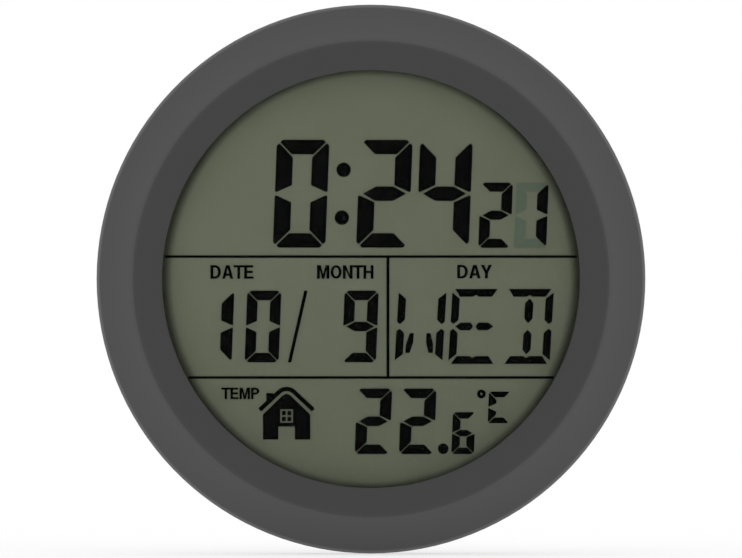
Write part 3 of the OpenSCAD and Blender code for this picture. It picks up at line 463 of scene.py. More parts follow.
@dataclass(frozen=True)
class RecessedScrew(PlatedMetal):
    """A plated screw whose driver recess is darkened with painted shade.

    Attributes:
        painted_shade: colour of the painted shade in the recess.
        top: depth of the head's top.
        sunk: how far below that top the shade begins.
    """

    painted_shade: str = "#000000"
    top: float = 11.4
    sunk: float = 0.7

    def detail(self, tree: Tree, place: Socket) -> Inputs:
        """Paints shade on what lies deep in the recess."""
        # Painted shade: below the depth of the recess's floor the colour turns dark
        colour = split_at(tree, place, self.top + self.sunk, linear(self.colour), linear(self.painted_shade))
        return super().detail(tree, place) | {"Base Color": colour}


@dataclass(frozen=True)
class CellWrap(Finish):
    """Metallised film shrunk on a dry cell: brass-coloured, with a grey ring at the button end and bare
    steel at both ends.

    Attributes:
        ring: colour of the ring.
        steel: colour of the bare ends.
        film: grey whose linear value is how metallic the film is.
        bands: from one end to the other, the places along X where the colour changes.
        flipped: True where the button end points to +X.
    """

    ring: str = "#000000"
    steel: str = "#000000"
    film: str = "#bcbcbc"
    bands: tuple[float, ...] = ()
    flipped: bool = False

    def detail(self, tree: Tree, place: Socket) -> Inputs:
        """Steps the colour along the cell, and how metallic it is.

        Args:
            tree: the material's nodes.
            place: coordinates on the surface.

        Returns:
            Inputs of the shader.
        """
        along = add_node(tree, "SeparateXYZ", {0: place}).outputs["X"]
        body = [self.colour, self.ring] if self.flipped else [self.ring, self.colour]
        bare = "#ffffff"
        looks = {"Base Color": [self.steel, *body, self.steel, self.steel],
                 "Metallic": [bare, self.film, self.film, bare, bare]}
        return {socket: colour_along(tree, along, list(zip(self.bands, colours)), stepped=True)
                for socket, colours in looks.items()}


@dataclass(frozen=True)
class BoardLaminate(Finish):
    """Glass-epoxy board under green solder mask: copper tracks show through as a lighter green.

    Attributes:
        track: colour of the mask over a track.
        pitch: distance between the tracks.
    """

    track: str = "#000000"
    pitch: float = 2.5

    def detail(self, tree: Tree, place: Socket) -> Inputs:
        """Lays the tracks as the bricks of a brick pattern.

        Args:
            tree: the material's nodes.
            place: coordinates on the surface.

        Returns:
            Inputs of the shader.
        """
        facing = add_node(tree, "Mapping", {"Vector": place, "Rotation": (np.pi / 2, 0.0, 0.0)})
        return {"Base Color": add_node(tree, "TexBrick", {
            "Vector": facing, "Color1": linear(self.track), "Color2": linear(self.colour),
            "Mortar": linear(self.colour), "Scale": per_mm(self.pitch), "Mortar Size": 0.12,
            "Brick Width": 7.0, "Row Height": 0.5})}


# Moulded ABS: matt and even, with a soft grey sheen at grazing angles
# Front shell: darker inside the crest; past the crest the colour falls towards the rim as painted shade, and
# the rim's lighter colour is a painted highlight
FRONT_ABS = BezelPlastic(
    "moulded_grey_abs_front", "#484848", Sheen.MATT, ior=1.4, painted_highlight="#5a5a5a",
    rings=((64.0, "#393939"), (72.2, "#393939"), (73.4, "#3c3c3c"), (73.8, "#494949"), (84.0, "#444444")))
BACK_ABS = MouldedPlastic("moulded_grey_abs_back", "#4a4a4b", Sheen.MATT, ior=1.4, shade="#424243",
                          grain=0.9, depth=0.06)
KEY_ABS = PrintedKey("soft_touch_grey_keys", "#3b3b3d", Sheen.MATT, ior=1.35, shade="#373739", grain=0.3,
                     depth=0.01, ink="#b9bab8")
TRAY_ABS = MouldedPlastic("natural_abs_tray", "#d9d9d2", Sheen.SATIN, shade="#cfcfc7", depth=0.004)
SWITCH_NYLON = MouldedPlastic("black_nylon_switch", "#26272a", Sheen.SATIN, shade="#1e1f22", depth=0.006)
# Cast acrylic and float glass: polished, nearly all see-through
LENS_ACRYLIC = Finish("polished_clear_acrylic", "#0d0f0d", Sheen.GLOSS, ior=1.49, alpha=0.015)
POLARISER = Finish("neutral_polariser_film", "#141611", Sheen.SMOOTH, ior=1.49, alpha=0.01)
DISPLAY_GLASS = Finish("soda_lime_display_glass", "#141812", Sheen.GLOSS, ior=1.52, alpha=0.01)
# Reflector foil behind the crystal, and the crystal where it is driven or was driven a moment ago
REFLECTOR = DisplayFilm("olive_reflector_film", "#707565", Sheen.MATT, cloudy="#6a6f5c")
DRIVEN_INK = DisplayFilm("driven_liquid_crystal", "#030403", Sheen.SATIN, cloudy="#050605")
FADING_INK = DisplayFilm("fading_liquid_crystal", "#5d685a", Sheen.MATT, cloudy="#5a6556")
# Foam, silicone and soft vinyl: dull skins with a faint moulded grain
FOAM_TAPE = MouldedPlastic("black_foam_tape", "#141414", Sheen.MATT, shade="#0e0e0e", grain=0.6,
                           depth=0.06)
SEAL_SILICONE = MouldedPlastic("black_silicone_seal", "#1c1c1c", Sheen.SATIN, shade="#161616", depth=0.006)
ZEBRA_SILICONE = MouldedPlastic("layered_silicone_strip", "#5b3f52", Sheen.SATIN, shade="#2c2029",
                                cloud=1.0)
CUP_VINYL = MouldedPlastic("clear_soft_vinyl", "#dfe8ea", Sheen.SMOOTH, ior=1.45, clear=0.85,
                           shade="#d3dee1", depth=0.004)
RED_VINYL = MouldedPlastic("red_vinyl_sleeve", "#b3261e", Sheen.SATIN, shade="#9c1f19", depth=0.004)
BLACK_VINYL = MouldedPlastic("black_vinyl_sleeve", "#1b1b1d", Sheen.SATIN, shade="#141416", depth=0.004)
# Zinc and nickel over drawn, turned or rolled steel
ZINC_SCREW = PlatedMetal("zinc_plated_screw", "#b9bcbf", Sheen.SMOOTH, marks=0.3)
# Case screws: their recesses hold painted shade
CASE_SCREW = RecessedScrew("zinc_plated_case_screw", "#b0b3b6", Sheen.SMOOTH, marks=0.3, painted_shade="#343436")
STEEL_PIN = PlatedMetal("drawn_steel_pin", "#b4b7ba", Sheen.SMOOTH, marks=0.2, run=Grain.ALONG_X)
NICKEL_CONTACT = PlatedMetal("nickel_plated_contact", "#c9c9c2", Sheen.SMOOTH, run=Grain.ALONG_Z)
# Small parts of the board: dipped, fired and potted
BOARD = BoardLaminate("green_glass_epoxy", "#2c6139", Sheen.SMOOTH, track="#3f7d4b")
POTTING = MouldedPlastic("black_epoxy_potting", "#161616", Sheen.SMOOTH, shade="#101010", depth=0.01)
CERAMIC = MouldedPlastic("fired_ceramic", "#a98758", Sheen.MATT, shade="#97774b", grain=0.2, depth=0.004)
SENSOR_EPOXY = MouldedPlastic("dipped_sensor_bead", "#3b2b20", Sheen.SMOOTH, shade="#2f2219", depth=0.004)


def dress(**finishes: Finish) -> None:
    """Gives CAD nodes their finishes.

    Args:
        **finishes: what each node's surface is, by the node's name.
    """
    for name, finish in finishes.items():
        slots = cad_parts[name].data.materials
        slots.clear()
        slots.append(finish.material())
        log.info("%s is %s", name, finish.name)


def on_face(points: NDArray) -> NDArray:
    """Turns rows of across, up and depth in millimetres into rows of X, Y and Z in metres."""
    across, up, depth = points.T
    return np.column_stack([across, -depth, up]) * MM


def slab(shapes: Sequence[NDArray], back: float, front: float) -> Mesh:
    """Makes a flat solid from outlines that may share edges.

    The front is every outline at one depth, and the back is the same outlines turned over at the other.
    A wall joins the two along each edge that only one outline has, so shapes side by side become one.

    Args:
        shapes: outlines with rows of across and up, anticlockwise seen from the front.
        back: depth of the back.
        front: depth of the front.

    Returns:
        The points as across, up and depth, and the faces as lists of point numbers.
    """
    corners, numbers = np.unique(np.round(np.vstack(shapes), 6), axis=0, return_inverse=True)
    count = len(corners)
    ends = np.cumsum([len(shape) for shape in shapes])
    loops = [part.tolist() for part in np.split(numbers.ravel(), ends[:-1])]
    edges = {(a, b) for loop in loops for a, b in zip(loop, loop[1:] + loop[:1])}
    walls = [[b, a, a + count, b + count] for a, b in sorted(edges) if (b, a) not in edges]
    points = np.vstack([np.column_stack([corners, np.full(count, depth)]) for depth in (front, back)])
    backs = [[i + count for i in reversed(loop)] for loop in loops]
    return points, [*loops, *backs, *walls]


def ribbon(path: NDArray, width: float) -> tuple[NDArray, NDArray]:
    """Carries a straight profile along a path, square to it.

    Each edge is the path moved by half the width along its normal, which is the path's direction, taken
    between the neighbouring points, turned by a right angle.

    Args:
        path: rows of across and up.
        width: width of the ribbon.

    Returns:
        The left and the right edge, seen along the path.
    """
    heading = np.gradient(path, axis=0)
    heading /= np.linalg.norm(heading, axis=1, keepdims=True)
    normal = np.column_stack([-heading[:, 1], heading[:, 0]]) * width / 2
    return path + normal, path - normal


def turned(profile: NDArray, centre: tuple[float, float], count: int) -> Mesh:
    """Carries a profile round an axis that runs from the wall towards the viewer.

    A point of the profile, at its radius and depth, becomes a ring: the centre plus the radius times
    cosine and sine of a turning angle, at that depth. The first and the last point close it on the axis.

    Args:
        profile: rows of radius and depth, from the wall's side towards the viewer.
        centre: place of the axis, across and up.
        count: points on a ring.

    Returns:
        The points as across, up and depth, and the faces as lists of point numbers.
    """
    turn = np.linspace(0.0, 2 * np.pi, count, endpoint=False)
    rings = profile[1:-1]
    across = centre[0] + np.outer(rings[:, 0], np.cos(turn))
    up = centre[1] + np.outer(rings[:, 0], np.sin(turn))
    depth = np.repeat(rings[:, 1:], count, axis=1)
    poles = np.array([[*centre, profile[0, 1]], [*centre, profile[-1, 1]]])
    points = np.vstack([np.stack([across, up, depth], axis=-1).reshape(-1, 3), poles])
    number = np.arange(len(rings) * count).reshape(len(rings), count)
    after = np.roll(number, -1, axis=1)
    quads = np.stack([number[:-1], after[:-1], after[1:], number[1:]], axis=-1).reshape(-1, 4)
    first, last = (np.full(count, len(points) - pole) for pole in (2, 1))
    caps = np.vstack([np.column_stack([first, after[0], number[0]]),
                      np.column_stack([last, number[-1], after[-1]])])
    return points, [*quads.tolist(), *caps.tolist()]


def add_piece(name: str, shape: Mesh, finish: Finish, body: str) -> bpy.types.Object:
    """Puts a new piece into the scene, on the body that it moves with.

    Args:
        name: name of the piece.
        shape: its points as across, up and depth in millimetres, and its faces.
        finish: what its surface is.
        body: CAD body that carries it.

    Returns:
        The new object.
    """
    points, faces = shape
    mesh = bpy.data.meshes.new(name)
    mesh.from_pydata(on_face(points).tolist(), [], faces)
    mesh.validate()
    mesh.materials.append(finish.material())
    piece = bpy.data.objects.new(name, mesh)
    bpy.context.scene.collection.objects.link(piece)
    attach(piece, body)
    log.info("%s: %d points on %s", name, len(points), body)
    return piece


@dataclass
class Housing:
    """The two case shells, their gasket and their screws."""

    def dress(self) -> None:
        """Gives the shells their grain and the fasteners their plating."""
        dress(front_case=FRONT_ABS, rear_case=BACK_ABS, case_gasket=SEAL_SILICONE, case_screws=CASE_SCREW)


@dataclass(frozen=True)
class BoldCapitals:
    """Bold sans-serif capitals for captions, drawn on a height of 1.

    A letter is a list of outlines, anticlockwise. One with a hole is two outlines that share edges.

    Attributes:
        stem: width of the upright strokes.
        bar: thickness of the level strokes.
        flat: share of a bowl's width before it turns.
        tip: half the width of a peak, as a share of the stem.
        gap: space between letters.
        tuck: how much closer the pairs stand whose sides lean apart.
        pairs: those pairs.
        steps: edges on a quarter of a round stroke.
    """

    stem: float = 0.21
    bar: float = 0.175
    flat: float = 0.45
    tip: float = 0.6
    gap: float = 0.08
    tuck: float = 0.07
    pairs: tuple[str, ...] = ("AT", "AY", "TE", "NT", "TH")
    steps: int = 6

    def arc(self, centre: tuple[float, float], radii: tuple[float, float], first: int, last: int) -> NDArray:
        """Draws part of an ellipse: its centre plus its radii times cosine and sine of angles in degrees."""
        turn = np.radians(np.linspace(first, last, abs(last - first) // 90 * self.steps + 1))
        return np.array(centre) + np.array(radii) * np.column_stack([np.cos(turn), np.sin(turn)])

    def mirrored(self, half: NDArray, width: float) -> Outlines:
        """Gives the left half of a letter and its mirror image about the letter's middle."""
        return [half, (half * [-1, 1] + [width, 0])[::-1]]

    def bowl(self, width: float, low: float) -> Outlines:
        """Draws an upright with a bowl: half ellipses with a straight part along the top and the bottom.

        Args:
            width: width of the letter.
            low: height at which the bowl begins.

        Returns:
            The upper half and the lower half.
        """
        s, b, mid, turn = self.stem, self.bar, (1 + low) / 2, width * self.flat
        outer, inner = (width - turn, mid - low), (width - s - turn, mid - low - b)
        upper = np.vstack([[[0, mid], [s, mid], [s, 1 - b]], self.arc((turn, mid), inner, 90, 0),
                           self.arc((turn, mid), outer, 0, 90), [[0, 1]]])
        lower = (upper * [1, -1] + [0, 2 * mid])[::-1]
        foot = np.array([[0, 0], [s, 0], [s, low]] if low > 0 else [[0, 0]])
        return [upper, np.vstack([foot, lower[1:]])]

    def ring(self, width: float) -> Outlines:
        """Draws a round letter as the left and right half of an elliptic ring.

        Args:
            width: width of the letter.

        Returns:
            The two halves.
        """
        middle = outer = (width / 2, 0.5)
        inner = (width / 2 - self.stem, 0.5 - self.bar)
        half = np.vstack([self.arc(middle, outer, 90, 270), self.arc(middle, inner, 270, 90)])
        return self.mirrored(half, width)

    def peak(self, width: float) -> Outlines:
        """Draws an A: two legs that meet at the top, and a level bar whose ends lie on their inner sides.

        Args:
            width: width of the letter.

        Returns:
            The two halves.
        """
        mid, foot, low, fork = width / 2, self.stem * 1.05, 0.21, 0.76
        ends = [foot + (mid - foot) * height / fork for height in (low, low + self.bar)]
        half = np.array([[0, 0], [foot, 0], [ends[0], low], [mid, low], [mid, low + self.bar],
                         [ends[1], low + self.bar], [mid, fork], [mid, 1],
                         [mid - self.stem * self.tip, 1]])
        return self.mirrored(half, width)

    def letter(self, sign: str) -> tuple[float, Outlines]:
        """Looks a letter up.

        Args:
            sign: one of the capitals that the captions use.

        Returns:
            The letter's width and its outlines.
        """
        s, b, low, high = self.stem, self.bar, 0.5 - self.bar / 2, 0.5 + self.bar / 2
        t, e, m, n, h, y = 0.74, 0.67, 0.88, 0.7, 0.72, 0.78
        straight = {
            "T": (t, [[0, 1], [0, 1 - b], [(t - s) / 2, 1 - b], [(t - s) / 2, 0], [(t + s) / 2, 0],
                      [(t + s) / 2, 1 - b], [t, 1 - b], [t, 1]]),
            "E": (e, [[0, 0], [e, 0], [e, b], [s, b], [s, low], [e - 0.05, low], [e - 0.05, high],
                      [s, high], [s, 1 - b], [e - 0.02, 1 - b], [e - 0.02, 1], [0, 1]]),
            "H": (h, [[0, 0], [s, 0], [s, low], [h - s, low], [h - s, 0], [h, 0], [h, 1], [h - s, 1],
                      [h - s, high], [s, high], [s, 1], [0, 1]]),
            "N": (n, [[0, 0], [s, 0], [s, 0.66], [n - s, 0], [n, 0], [n, 1], [n - s, 1], [n - s, 0.34],
                      [s, 1], [0, 1]]),
            "M": (m, [[0, 0], [s, 0], [s, 0.68], [m / 2 - s * 0.42, 0], [m / 2 + s * 0.42, 0],
                      [m - s, 0.68], [m - s, 0], [m, 0], [m, 1], [m - s * 1.3, 1], [m / 2, 0.34],
                      [s * 1.3, 1], [0, 1]]),
            "Y": (y, [[(y - s) / 2, 0], [(y + s) / 2, 0], [(y + s) / 2, 0.4], [y, 1], [y - s * 1.15, 1],
                      [y / 2, 0.6], [s * 1.15, 1], [0, 1], [(y - s) / 2, 0.4]]),
        }
        if sign in straight:
            width, outline = straight[sign]
            return width, [np.array(outline)]
        return {"D": (0.75, self.bowl(0.75, 0.0)), "P": (0.69, self.bowl(0.69, 0.4)),
                "O": (0.79, self.ring(0.79)), "A": (0.8, self.peak(0.8))}[sign]

    def word(self, text: str) -> Outlines:
        """Sets letters side by side.

        Args:
            text: capitals to set.

        Returns:
            Outlines that fill a box from 0 to 1 both ways.
        """
        pen, shapes = 0.0, []
        for place, sign in enumerate(text):
            width, outlines = self.letter(sign)
            shapes += [outline + [pen, 0] for outline in outlines]
            pen += width + self.gap - (self.tuck if text[place:place + 2] in self.pairs else 0.0)
        return [shape / [pen - self.gap, 1.0] for shape in shapes]


@dataclass
class Caption:
    """A printed word of the display.

    Attributes:
        word: its capitals.
        middle: place of its middle.
        size: its width and the height of its capitals.
        face: the type it is set in.
    """

    word: str
    middle: tuple[float, float]
    size: tuple[float, float]
    face: BoldCapitals = BoldCapitals()

    def shapes(self) -> Outlines:
        """Draws the word as outlines with rows of across and up."""
        low = np.array(self.middle) - np.array(self.size) / 2
        return [shape * self.size + low for shape in self.face.word(self.word)]


@dataclass
class HouseSign:
    """The sign of a house that stands for the indoor temperature.

    Attributes:
        across: place of its middle line.
        foot: height of its foot.
        width: width of the walls.
        eaves: height of the walls at the sides.
        ridge: height of the walls under the ridge.
        blunt: how far out their blunt top reaches, and how far it falls there.
        door: width and height of the door.
        window: width, height and sill of the window.
        bar: width of the window's bars.
        roof_width: distance between the roof's ends.
        roof_foot: height of its ends.
        roof_top: height of its middle line at the ridge.
        roof_round: radius that rounds the ridge.
        roof_t: its thickness.
        chimney: left and right edge, from the middle line, and top of the chimney.
        steps: points on the ridge's arc.
    """

    across: float = -26.1
    foot: float = -49.64
    width: float = 14.65
    eaves: float = -41.9
    ridge: float = -35.45
    blunt: tuple[float, float] = (1.2, 0.5)
    door: tuple[float, float] = (5.1, 4.0)
    window: tuple[float, float, float] = (3.9, 4.12, -44.42)
    bar: float = 0.46
    roof_width: float = 16.6
    roof_foot: float = -40.5
    roof_top: float = -34.0
    roof_round: float = 3.4
    roof_t: float = 1.4
    chimney: tuple[float, float, float] = (-6.3, -4.1, -35.25)
    steps: int = 17

    def shapes(self) -> Outlines:
        """Draws the sign: two mirrored halves of the walls, the panes of the window, and the roof.

        Returns:
            Outlines with rows of across and up.
        """
        half, (door_w, door_h), (out, fall) = self.width / 2, self.door, self.blunt
        window_w, window_h, sill = self.window
        left = np.array([
            [-half, self.foot], [-door_w / 2, self.foot], [-door_w / 2, self.foot + door_h],
            [0, self.foot + door_h], [0, sill], [-window_w / 2, sill], [-window_w / 2, sill + window_h],
            [0, sill + window_h], [0, self.ridge], [-out, self.ridge - fall], [-half, self.eaves]])
        right = (left * [-1, 1])[::-1]
        pane = np.array([(window_w - 3 * self.bar) / 2, (window_h - 3 * self.bar) / 2])
        square = np.array([[0, 0], [1, 0], [1, 1], [0, 1]]) * pane
        corners = [[side, row] for side in (-self.bar / 2 - pane[0], self.bar / 2)
                   for row in (sill + self.bar, sill + 2 * self.bar + pane[1])]
        drawn = [left, right, *(square + corner for corner in corners), self.roof()]
        return [shape + [self.across, 0] for shape in drawn]

    def roof(self) -> NDArray:
        """Draws the roof with its chimney, about the middle line.

        The roof's middle line is straight from each end to a circular arc at the ridge. The outline is
        that line widened to the roof's thickness, with the chimney's corners put in on its upper edge.

        Returns:
            Outline with rows of across and up.
        """
        end = np.array([-self.roof_width / 2, self.roof_foot])
        centre = np.array([0, self.roof_top - self.roof_round])
        reach = end - centre
        bearing = np.arctan2(reach[1], reach[0]) % (2 * np.pi)
        touch = bearing - np.arccos(self.roof_round / np.linalg.norm(reach))
        angles = np.linspace(touch, np.pi - touch, self.steps)
        arc = centre + self.roof_round * np.column_stack([np.cos(angles), np.sin(angles)])
        upper, lower = ribbon(np.vstack([end, arc, end * [-1, 1]]), self.roof_t)
        slope = (upper[1] - upper[0]) / (upper[1, 0] - upper[0, 0])
        left, right, top = self.chimney
        feet = [upper[0] + slope * (x - upper[0, 0]) for x in (left, right)]
        stack = [feet[1], [right, top], [left, top], feet[0]]
        return np.vstack([lower, upper[:0:-1], stack, upper[:1]])


@dataclass
class FadingDigit:
    """Bars of the last seconds digit that were lit a second before and still show.

    Attributes:
        middle: place of the digit's middle.
        width: its width.
        height: its height.
        slant: lean of the digits, as across over up.
        upright: width of the side bars as a share of the width.
        level: thickness of the level bars as a share of the height.
        gap: space between bars as a share of the height.
    """

    middle: tuple[float, float] = (49.61, 19.75)
    width: float = 10.0
    height: float = 20.2
    slant: float = 0.0386
    upright: float = 0.34
    level: float = 0.141
    gap: float = 0.0065

    def shapes(self) -> Outlines:
        """Draws the top, left and bottom bars: a trapezium, and a side bar mirrored about the middle.

        Returns:
            Outlines with rows of across and up.
        """
        x, y = self.width / 2, self.height / 2
        thick, gap, wide = self.height * self.level, self.height * self.gap, self.width * self.upright
        top = np.array([[-x + thick, y - thick], [x - thick, y - thick], [x - gap, y], [-x + gap, y]])
        side = np.array([[-x, gap], [-x + wide, gap + wide / 2], [-x + wide, y - gap - wide],
                         [-x, y - gap]])
        flip = [1, -1]
        bars = [top, side, (top * flip)[::-1], (side * flip)[::-1]]
        lean = np.array([[1.0, 0.0], [self.slant, 1.0]])
        return [bar @ lean + self.middle for bar in bars]


@dataclass
class Display:
    """Lens, display cell and readout.

    Attributes:
        captions: the printed words.
        house: the sign beside the temperature.
        fading: the digit that still shows.
        back: depth of the printed layer's back.
        front: depth of the printed layer's front.
    """

    captions: tuple[Caption, ...] = (
        Caption("DATE", (-43.0, 2.2), (13.35, 4.2)),
        Caption("MONTH", (-7.95, 2.2), (17.5, 4.2)),
        Caption("DAY", (32.05, 2.3), (10.8, 4.2)),
        Caption("TEMP", (-40.4, -35.37), (11.75, 3.57)),
    )
    house: HouseSign = field(default_factory=HouseSign)
    fading: FadingDigit = field(default_factory=FadingDigit)
    back: float = 25.62
    front: float = 25.78

    def build(self) -> None:
        """Sets the captions, the house and the fading bars in the readout layer."""
        printed = [(f"caption_{c.word.lower()}", c, DRIVEN_INK, "lcd_ink") for c in self.captions]
        printed += [("house_sign", self.house, DRIVEN_INK, "lcd_ink"),
                    ("fading_bars", self.fading, FADING_INK, "lcd_back")]
        for name, sign, finish, slot in printed:
            add_piece(name, slab(sign.shapes(), self.back, self.front), finish, "case")

    def dress(self) -> None:
        """Gives each layer of the display its finish."""
        dress(lens=LENS_ACRYLIC, lens_tape=FOAM_TAPE, lcd_spacer=FOAM_TAPE, front_polariser=POLARISER,
              lcd_front_glass=DISPLAY_GLASS, lcd_segments=DRIVEN_INK, lcd_seal=REFLECTOR,
              lcd_rear_glass=REFLECTOR, lcd_reflector=REFLECTOR, lcd_tray=TRAY_ABS,
              tray_screws=ZINC_SCREW)


@dataclass
class Electronics:
    """The circuit board, what it carries, and the connector to the display."""

    def dress(self) -> None:
        """Gives the board and its parts their finishes."""
        dress(zebra_strip=ZEBRA_SILICONE, circuit_board=BOARD, board_screws=ZINC_SCREW,
              driver_chip=POTTING, quartz_crystal=NICKEL_CONTACT, chip_capacitors=CERAMIC,
              thermistor=SENSOR_EPOXY, tact_switches=SWITCH_NYLON)


@dataclass
class BatteryBay:
    """Cells, contacts, leads and the sliding door.

    Attributes:
        sleeve: from the button end, the places where the sleeve begins, its ring ends and it ends itself.
    """

    sleeve: tuple[float, float, float] = (1.6, 5.2, 42.6)

    def wrap(self, node: str, flipped: bool) -> CellWrap:
        """Works out where a cell's colours change from the cell's own ends.

        Args:
            node: the cell's node.
            flipped: True where its button end points to +X.

        Returns:
            The cell's finish.
        """
        low, high = (corner[0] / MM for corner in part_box(node))
        marks = np.array([0.0, *self.sleeve, high - low])
        bands = high - marks[::-1] if flipped else low + marks
        return CellWrap(f"metallised_film_{node}", "#a9803c", Sheen.SMOOTH, ring="#85888a",
                        steel="#c4c5c2", bands=tuple(bands.tolist()), flipped=flipped)

    def dress(self) -> None:
        """Gives the cells, contacts, leads and door their finishes."""
        dress(upper_cell=self.wrap("upper_cell", True), lower_cell=self.wrap("lower_cell", False),
              series_contact=NICKEL_CONTACT, positive_terminal=NICKEL_CONTACT,
              negative_terminal=NICKEL_CONTACT, contact_springs=NICKEL_CONTACT, positive_lead=RED_VINYL,
              negative_lead=BLACK_VINYL, battery_door=BACK_ABS)


@dataclass
class SuctionCup:
    """One soft cup, which stands for a node and takes its place and its radius from it.

    Attributes:
        node: the node.
        lip_t: thickness of the lip.
        rim: width of the lip's face on the wall.
        hollow: depth of the hollow.
        flare: power by which the skirt rises from the lip.
        bead: height of the bead on the skirt.
        bead_r: its radius as a share of the lip's.
        bead_w: its width.
        shoulder_r: radius of the shoulder at the case.
        shoulder: depth at which the skirt meets it.
        back: depth of the case's back.
        inside: depth of the case's floor, where the head sits.
        neck_r: radius of the neck through the case.
        head_r: radius of the head.
        crease: angle in degrees from which an edge stays sharp.
        steps: points on the hollow and on the skirt.
        lip_steps: points on the lip's edge.
        count: points round the cup.
    """

    node: str
    lip_t: float = 0.8
    rim: float = 1.0
    hollow: float = 3.4
    flare: float = 1.6
    bead: float = 0.5
    bead_r: float = 0.86
    bead_w: float = 0.9
    shoulder_r: float = 5.2
    shoulder: float = 6.2
    back: float = 11.0
    inside: float = 13.2
    neck_r: float = 2.2
    head_r: float = 4.0
    crease: float = 50.0
    steps: int = 28
    lip_steps: int = 9
    count: int = 96

    def profile(self, lip_r: float, top: float) -> NDArray:
        """Draws half a section of the cup.

        The hollow is a parabola from the axis to the lip. The lip's edge is half a circle. The skirt
        rises with a power of the way in from the lip, and a bell curve on it is the bead. A shoulder, the
        neck and the head follow, with straight sides.

        Args:
            lip_r: radius of the lip.
            top: depth of the head's end.

        Returns:
            Rows of radius and depth, from the middle of the hollow to the middle of the head.
        """
        share = np.linspace(0.0, 1.0, self.steps)
        edge = np.linspace(-np.pi / 2, np.pi / 2, self.lip_steps)
        half = self.lip_t / 2
        hollow = np.column_stack([(lip_r - self.rim) * share, self.hollow * (1 - share ** 2)])
        lip = np.column_stack([lip_r - half + half * np.cos(edge), half + half * np.sin(edge)])
        skirt_r = lip_r - half - (lip_r - half - self.shoulder_r) * share[1:]
        skirt = self.lip_t + (self.shoulder - self.lip_t) * share[1:] ** self.flare
        skirt += self.bead * np.exp(-((skirt_r - self.bead_r * lip_r) / self.bead_w) ** 2)
        head = [[self.shoulder_r, self.back], [self.neck_r, self.back], [self.neck_r, self.inside],
                [self.head_r, self.inside], [self.head_r, (self.inside + top) / 2], [self.neck_r, top],
                [0.0, top]]
        return np.vstack([hollow, lip, np.column_stack([skirt_r, skirt]), head])

    def build(self) -> None:
        """Turns the profile about the node's middle and puts the cup in the node's place."""
        low, high = (np.array(corner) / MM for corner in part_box(self.node))
        middle = (low + high) / 2
        section = self.profile((high[0] - low[0]) / 2, -low[1])
        shape = turned(section, (middle[0], middle[2]), self.count)
        name = self.node.replace("suction", "vinyl")
        piece = add_piece(name, shape, CUP_VINYL, "case")
        piece.data.shade_smooth()
        piece.data.set_sharp_from_angle(angle=np.radians(self.crease))
        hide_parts(self.node)


@dataclass
class BackFittings:
    """Keys, stand and suction cups.

    Attributes:
        keys: what the keys' nodes begin with.
    """

    keys: tuple[str, ...] = ("mode", "up", "down", "unit")

    def build(self) -> None:
        """Makes the suction cups."""
        for name in sorted(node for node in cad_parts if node.startswith("suction_cup")):
            SuctionCup(name).build()

    def dress(self) -> None:
        """Gives the keys and the stand their finishes."""
        dress(**{f"{key}_button": KEY_ABS for key in self.keys})
        dress(**{f"{key}_stem": SWITCH_NYLON for key in self.keys})
        dress(stand=BACK_ABS, stand_pin=STEEL_PIN)


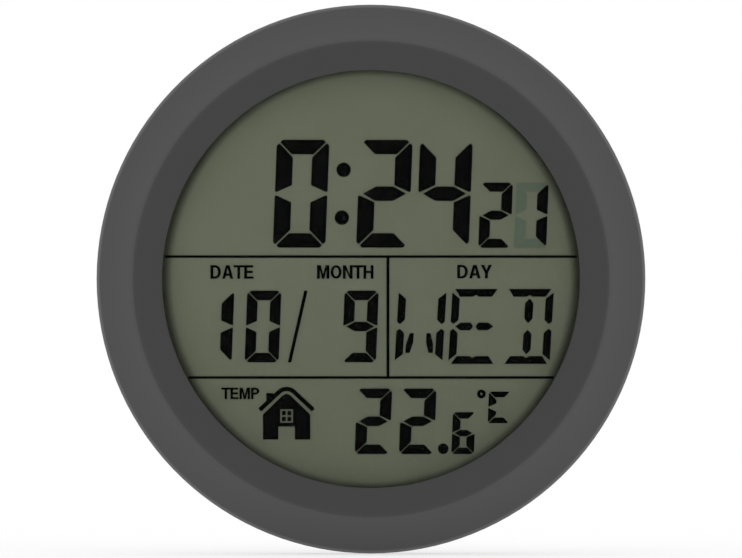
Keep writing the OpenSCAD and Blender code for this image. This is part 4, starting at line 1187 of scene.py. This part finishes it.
@dataclass
class Studio:
    """Pale floor, soft light from all round and the camera.

    Attributes:
        floor_r: half the side of the floor.
        floor_gap: distance of the floor below the clock.
        floor_colour: colour of the floor.
        floor_white: share of the floor's own light, as on a table lit from below.
        floor_glow: strength of that light.
        side_level: strength of the light from the sides, above and below.
        front_level: strength of the light from the front and from behind.
        focal: focal length.
        sensor: width of the sensor.
        pixels: width of the photograph in pixels.
        pixel: what one pixel measures at the rim.
        rim: depth of the rim.
        aim: place of the picture's middle.
        sheets: clear faces that a ray may cross to the display and back.
    """

    floor_r: float = 4000.0
    floor_gap: float = 0.2
    floor_colour: str = "#e9e9e9"
    floor_white: float = 0.5
    floor_glow: float = 1.2
    side_level: float = 1.15
    front_level: float = 0.75
    focal: float = 600.0
    sensor: float = 36.0
    pixels: int = 742
    pixel: float = 0.3093
    rim: float = 26.0
    aim: tuple[float, float] = (0.01, 0.02)
    sheets: int = 24

    def camera(self) -> None:
        """Stands the camera on the clock's axis, as far off as the photograph's scale asks."""
        lens = bpy.data.cameras.new("photo_camera")
        lens.lens, lens.sensor_width = self.focal, self.sensor
        lens.clip_end = 100.0
        holder = bpy.data.objects.new("photo_camera", lens)
        bpy.context.scene.collection.objects.link(holder)
        distance = self.pixels * self.pixel * self.focal / self.sensor
        holder.location = on_face(np.array([[*self.aim, self.rim + distance]]))[0]
        holder.rotation_euler = (np.pi / 2, 0.0, 0.0)
        bpy.context.scene.camera = holder

    def world(self) -> None:
        """Lights the clock evenly from all round, most from the sides, before a white background."""
        world = bpy.data.worlds.new("studio")
        world.use_nodes = True
        tree = world.node_tree
        tree.nodes.clear()
        towards = add_node(tree, "TexCoord").outputs["Generated"]
        parts = add_node(tree, "SeparateXYZ", {0: towards})
        depth = add_node(tree, "Math", {0: parts.outputs["Y"]}, operation="ABSOLUTE")
        level = add_node(tree, "MapRange", {
            "Value": depth, "To Min": self.side_level, "To Max": self.front_level})
        lamp, white = (add_node(tree, "Background", {"Color": WHITE, "Strength": strength})
                       for strength in (level, 1.0))
        # White to rays from the camera and to those that mirrors or clear pieces send on
        path = add_node(tree, "LightPath").outputs
        seen = path["Is Camera Ray"]
        for ray in ("Is Glossy Ray", "Is Transmission Ray"):
            seen = add_node(tree, "Math", {0: seen, 1: path[ray]}, operation="MAXIMUM")
        mixed = add_node(tree, "MixShader", {0: seen, 1: lamp, 2: white})
        add_node(tree, "OutputWorld", {"Surface": mixed})
        bpy.context.scene.world = world

    def floor(self) -> None:
        """Lays a pale floor just under the clock, lit from below, on which the clock's shadow shows."""
        level = CAD_BOX[0].z - self.floor_gap * MM
        corners = np.array([[-1, -1], [1, -1], [1, 1], [-1, 1]]) * self.floor_r * MM
        mesh = bpy.data.meshes.new("floor")
        mesh.from_pydata(np.column_stack([corners, np.full(4, level)]).tolist(), [], [[0, 1, 2, 3]])
        material = bpy.data.materials.new("pale_studio_paper")
        material.use_nodes = True
        tree = material.node_tree
        tree.nodes.clear()
        paper = add_node(tree, "BsdfDiffuse", {"Color": linear(self.floor_colour)})
        white = add_node(tree, "Emission", {"Color": WHITE, "Strength": self.floor_glow})
        mixed = add_node(tree, "MixShader", {0: self.floor_white, 1: paper, 2: white})
        add_node(tree, "OutputMaterial", {"Surface": mixed})
        mesh.materials.append(material)
        floor = bpy.data.objects.new("floor", mesh)
        bpy.context.scene.collection.objects.link(floor)

    def build(self) -> None:
        """Sets up the camera, the light and the floor."""
        bpy.context.scene.view_settings.view_transform = "Standard"
        bpy.context.scene.cycles.transparent_max_bounces = self.sheets
        self.camera()
        self.world()
        self.floor()


def write_sizes() -> None:
    """Updates the view layer."""
    bpy.context.view_layer.update()


def main() -> None:
    """Sets up the studio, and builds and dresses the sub-assemblies."""
    Studio().build()
    Housing().dress()
    display = Display()
    display.build()
    display.dress()
    Electronics().dress()
    BatteryBay().dress()
    fittings = BackFittings()
    fittings.build()
    fittings.dress()
    write_sizes()


if __name__ == "__main__":
    logging.basicConfig(level=logging.INFO, format="%(name)s: %(message)s")
    main()
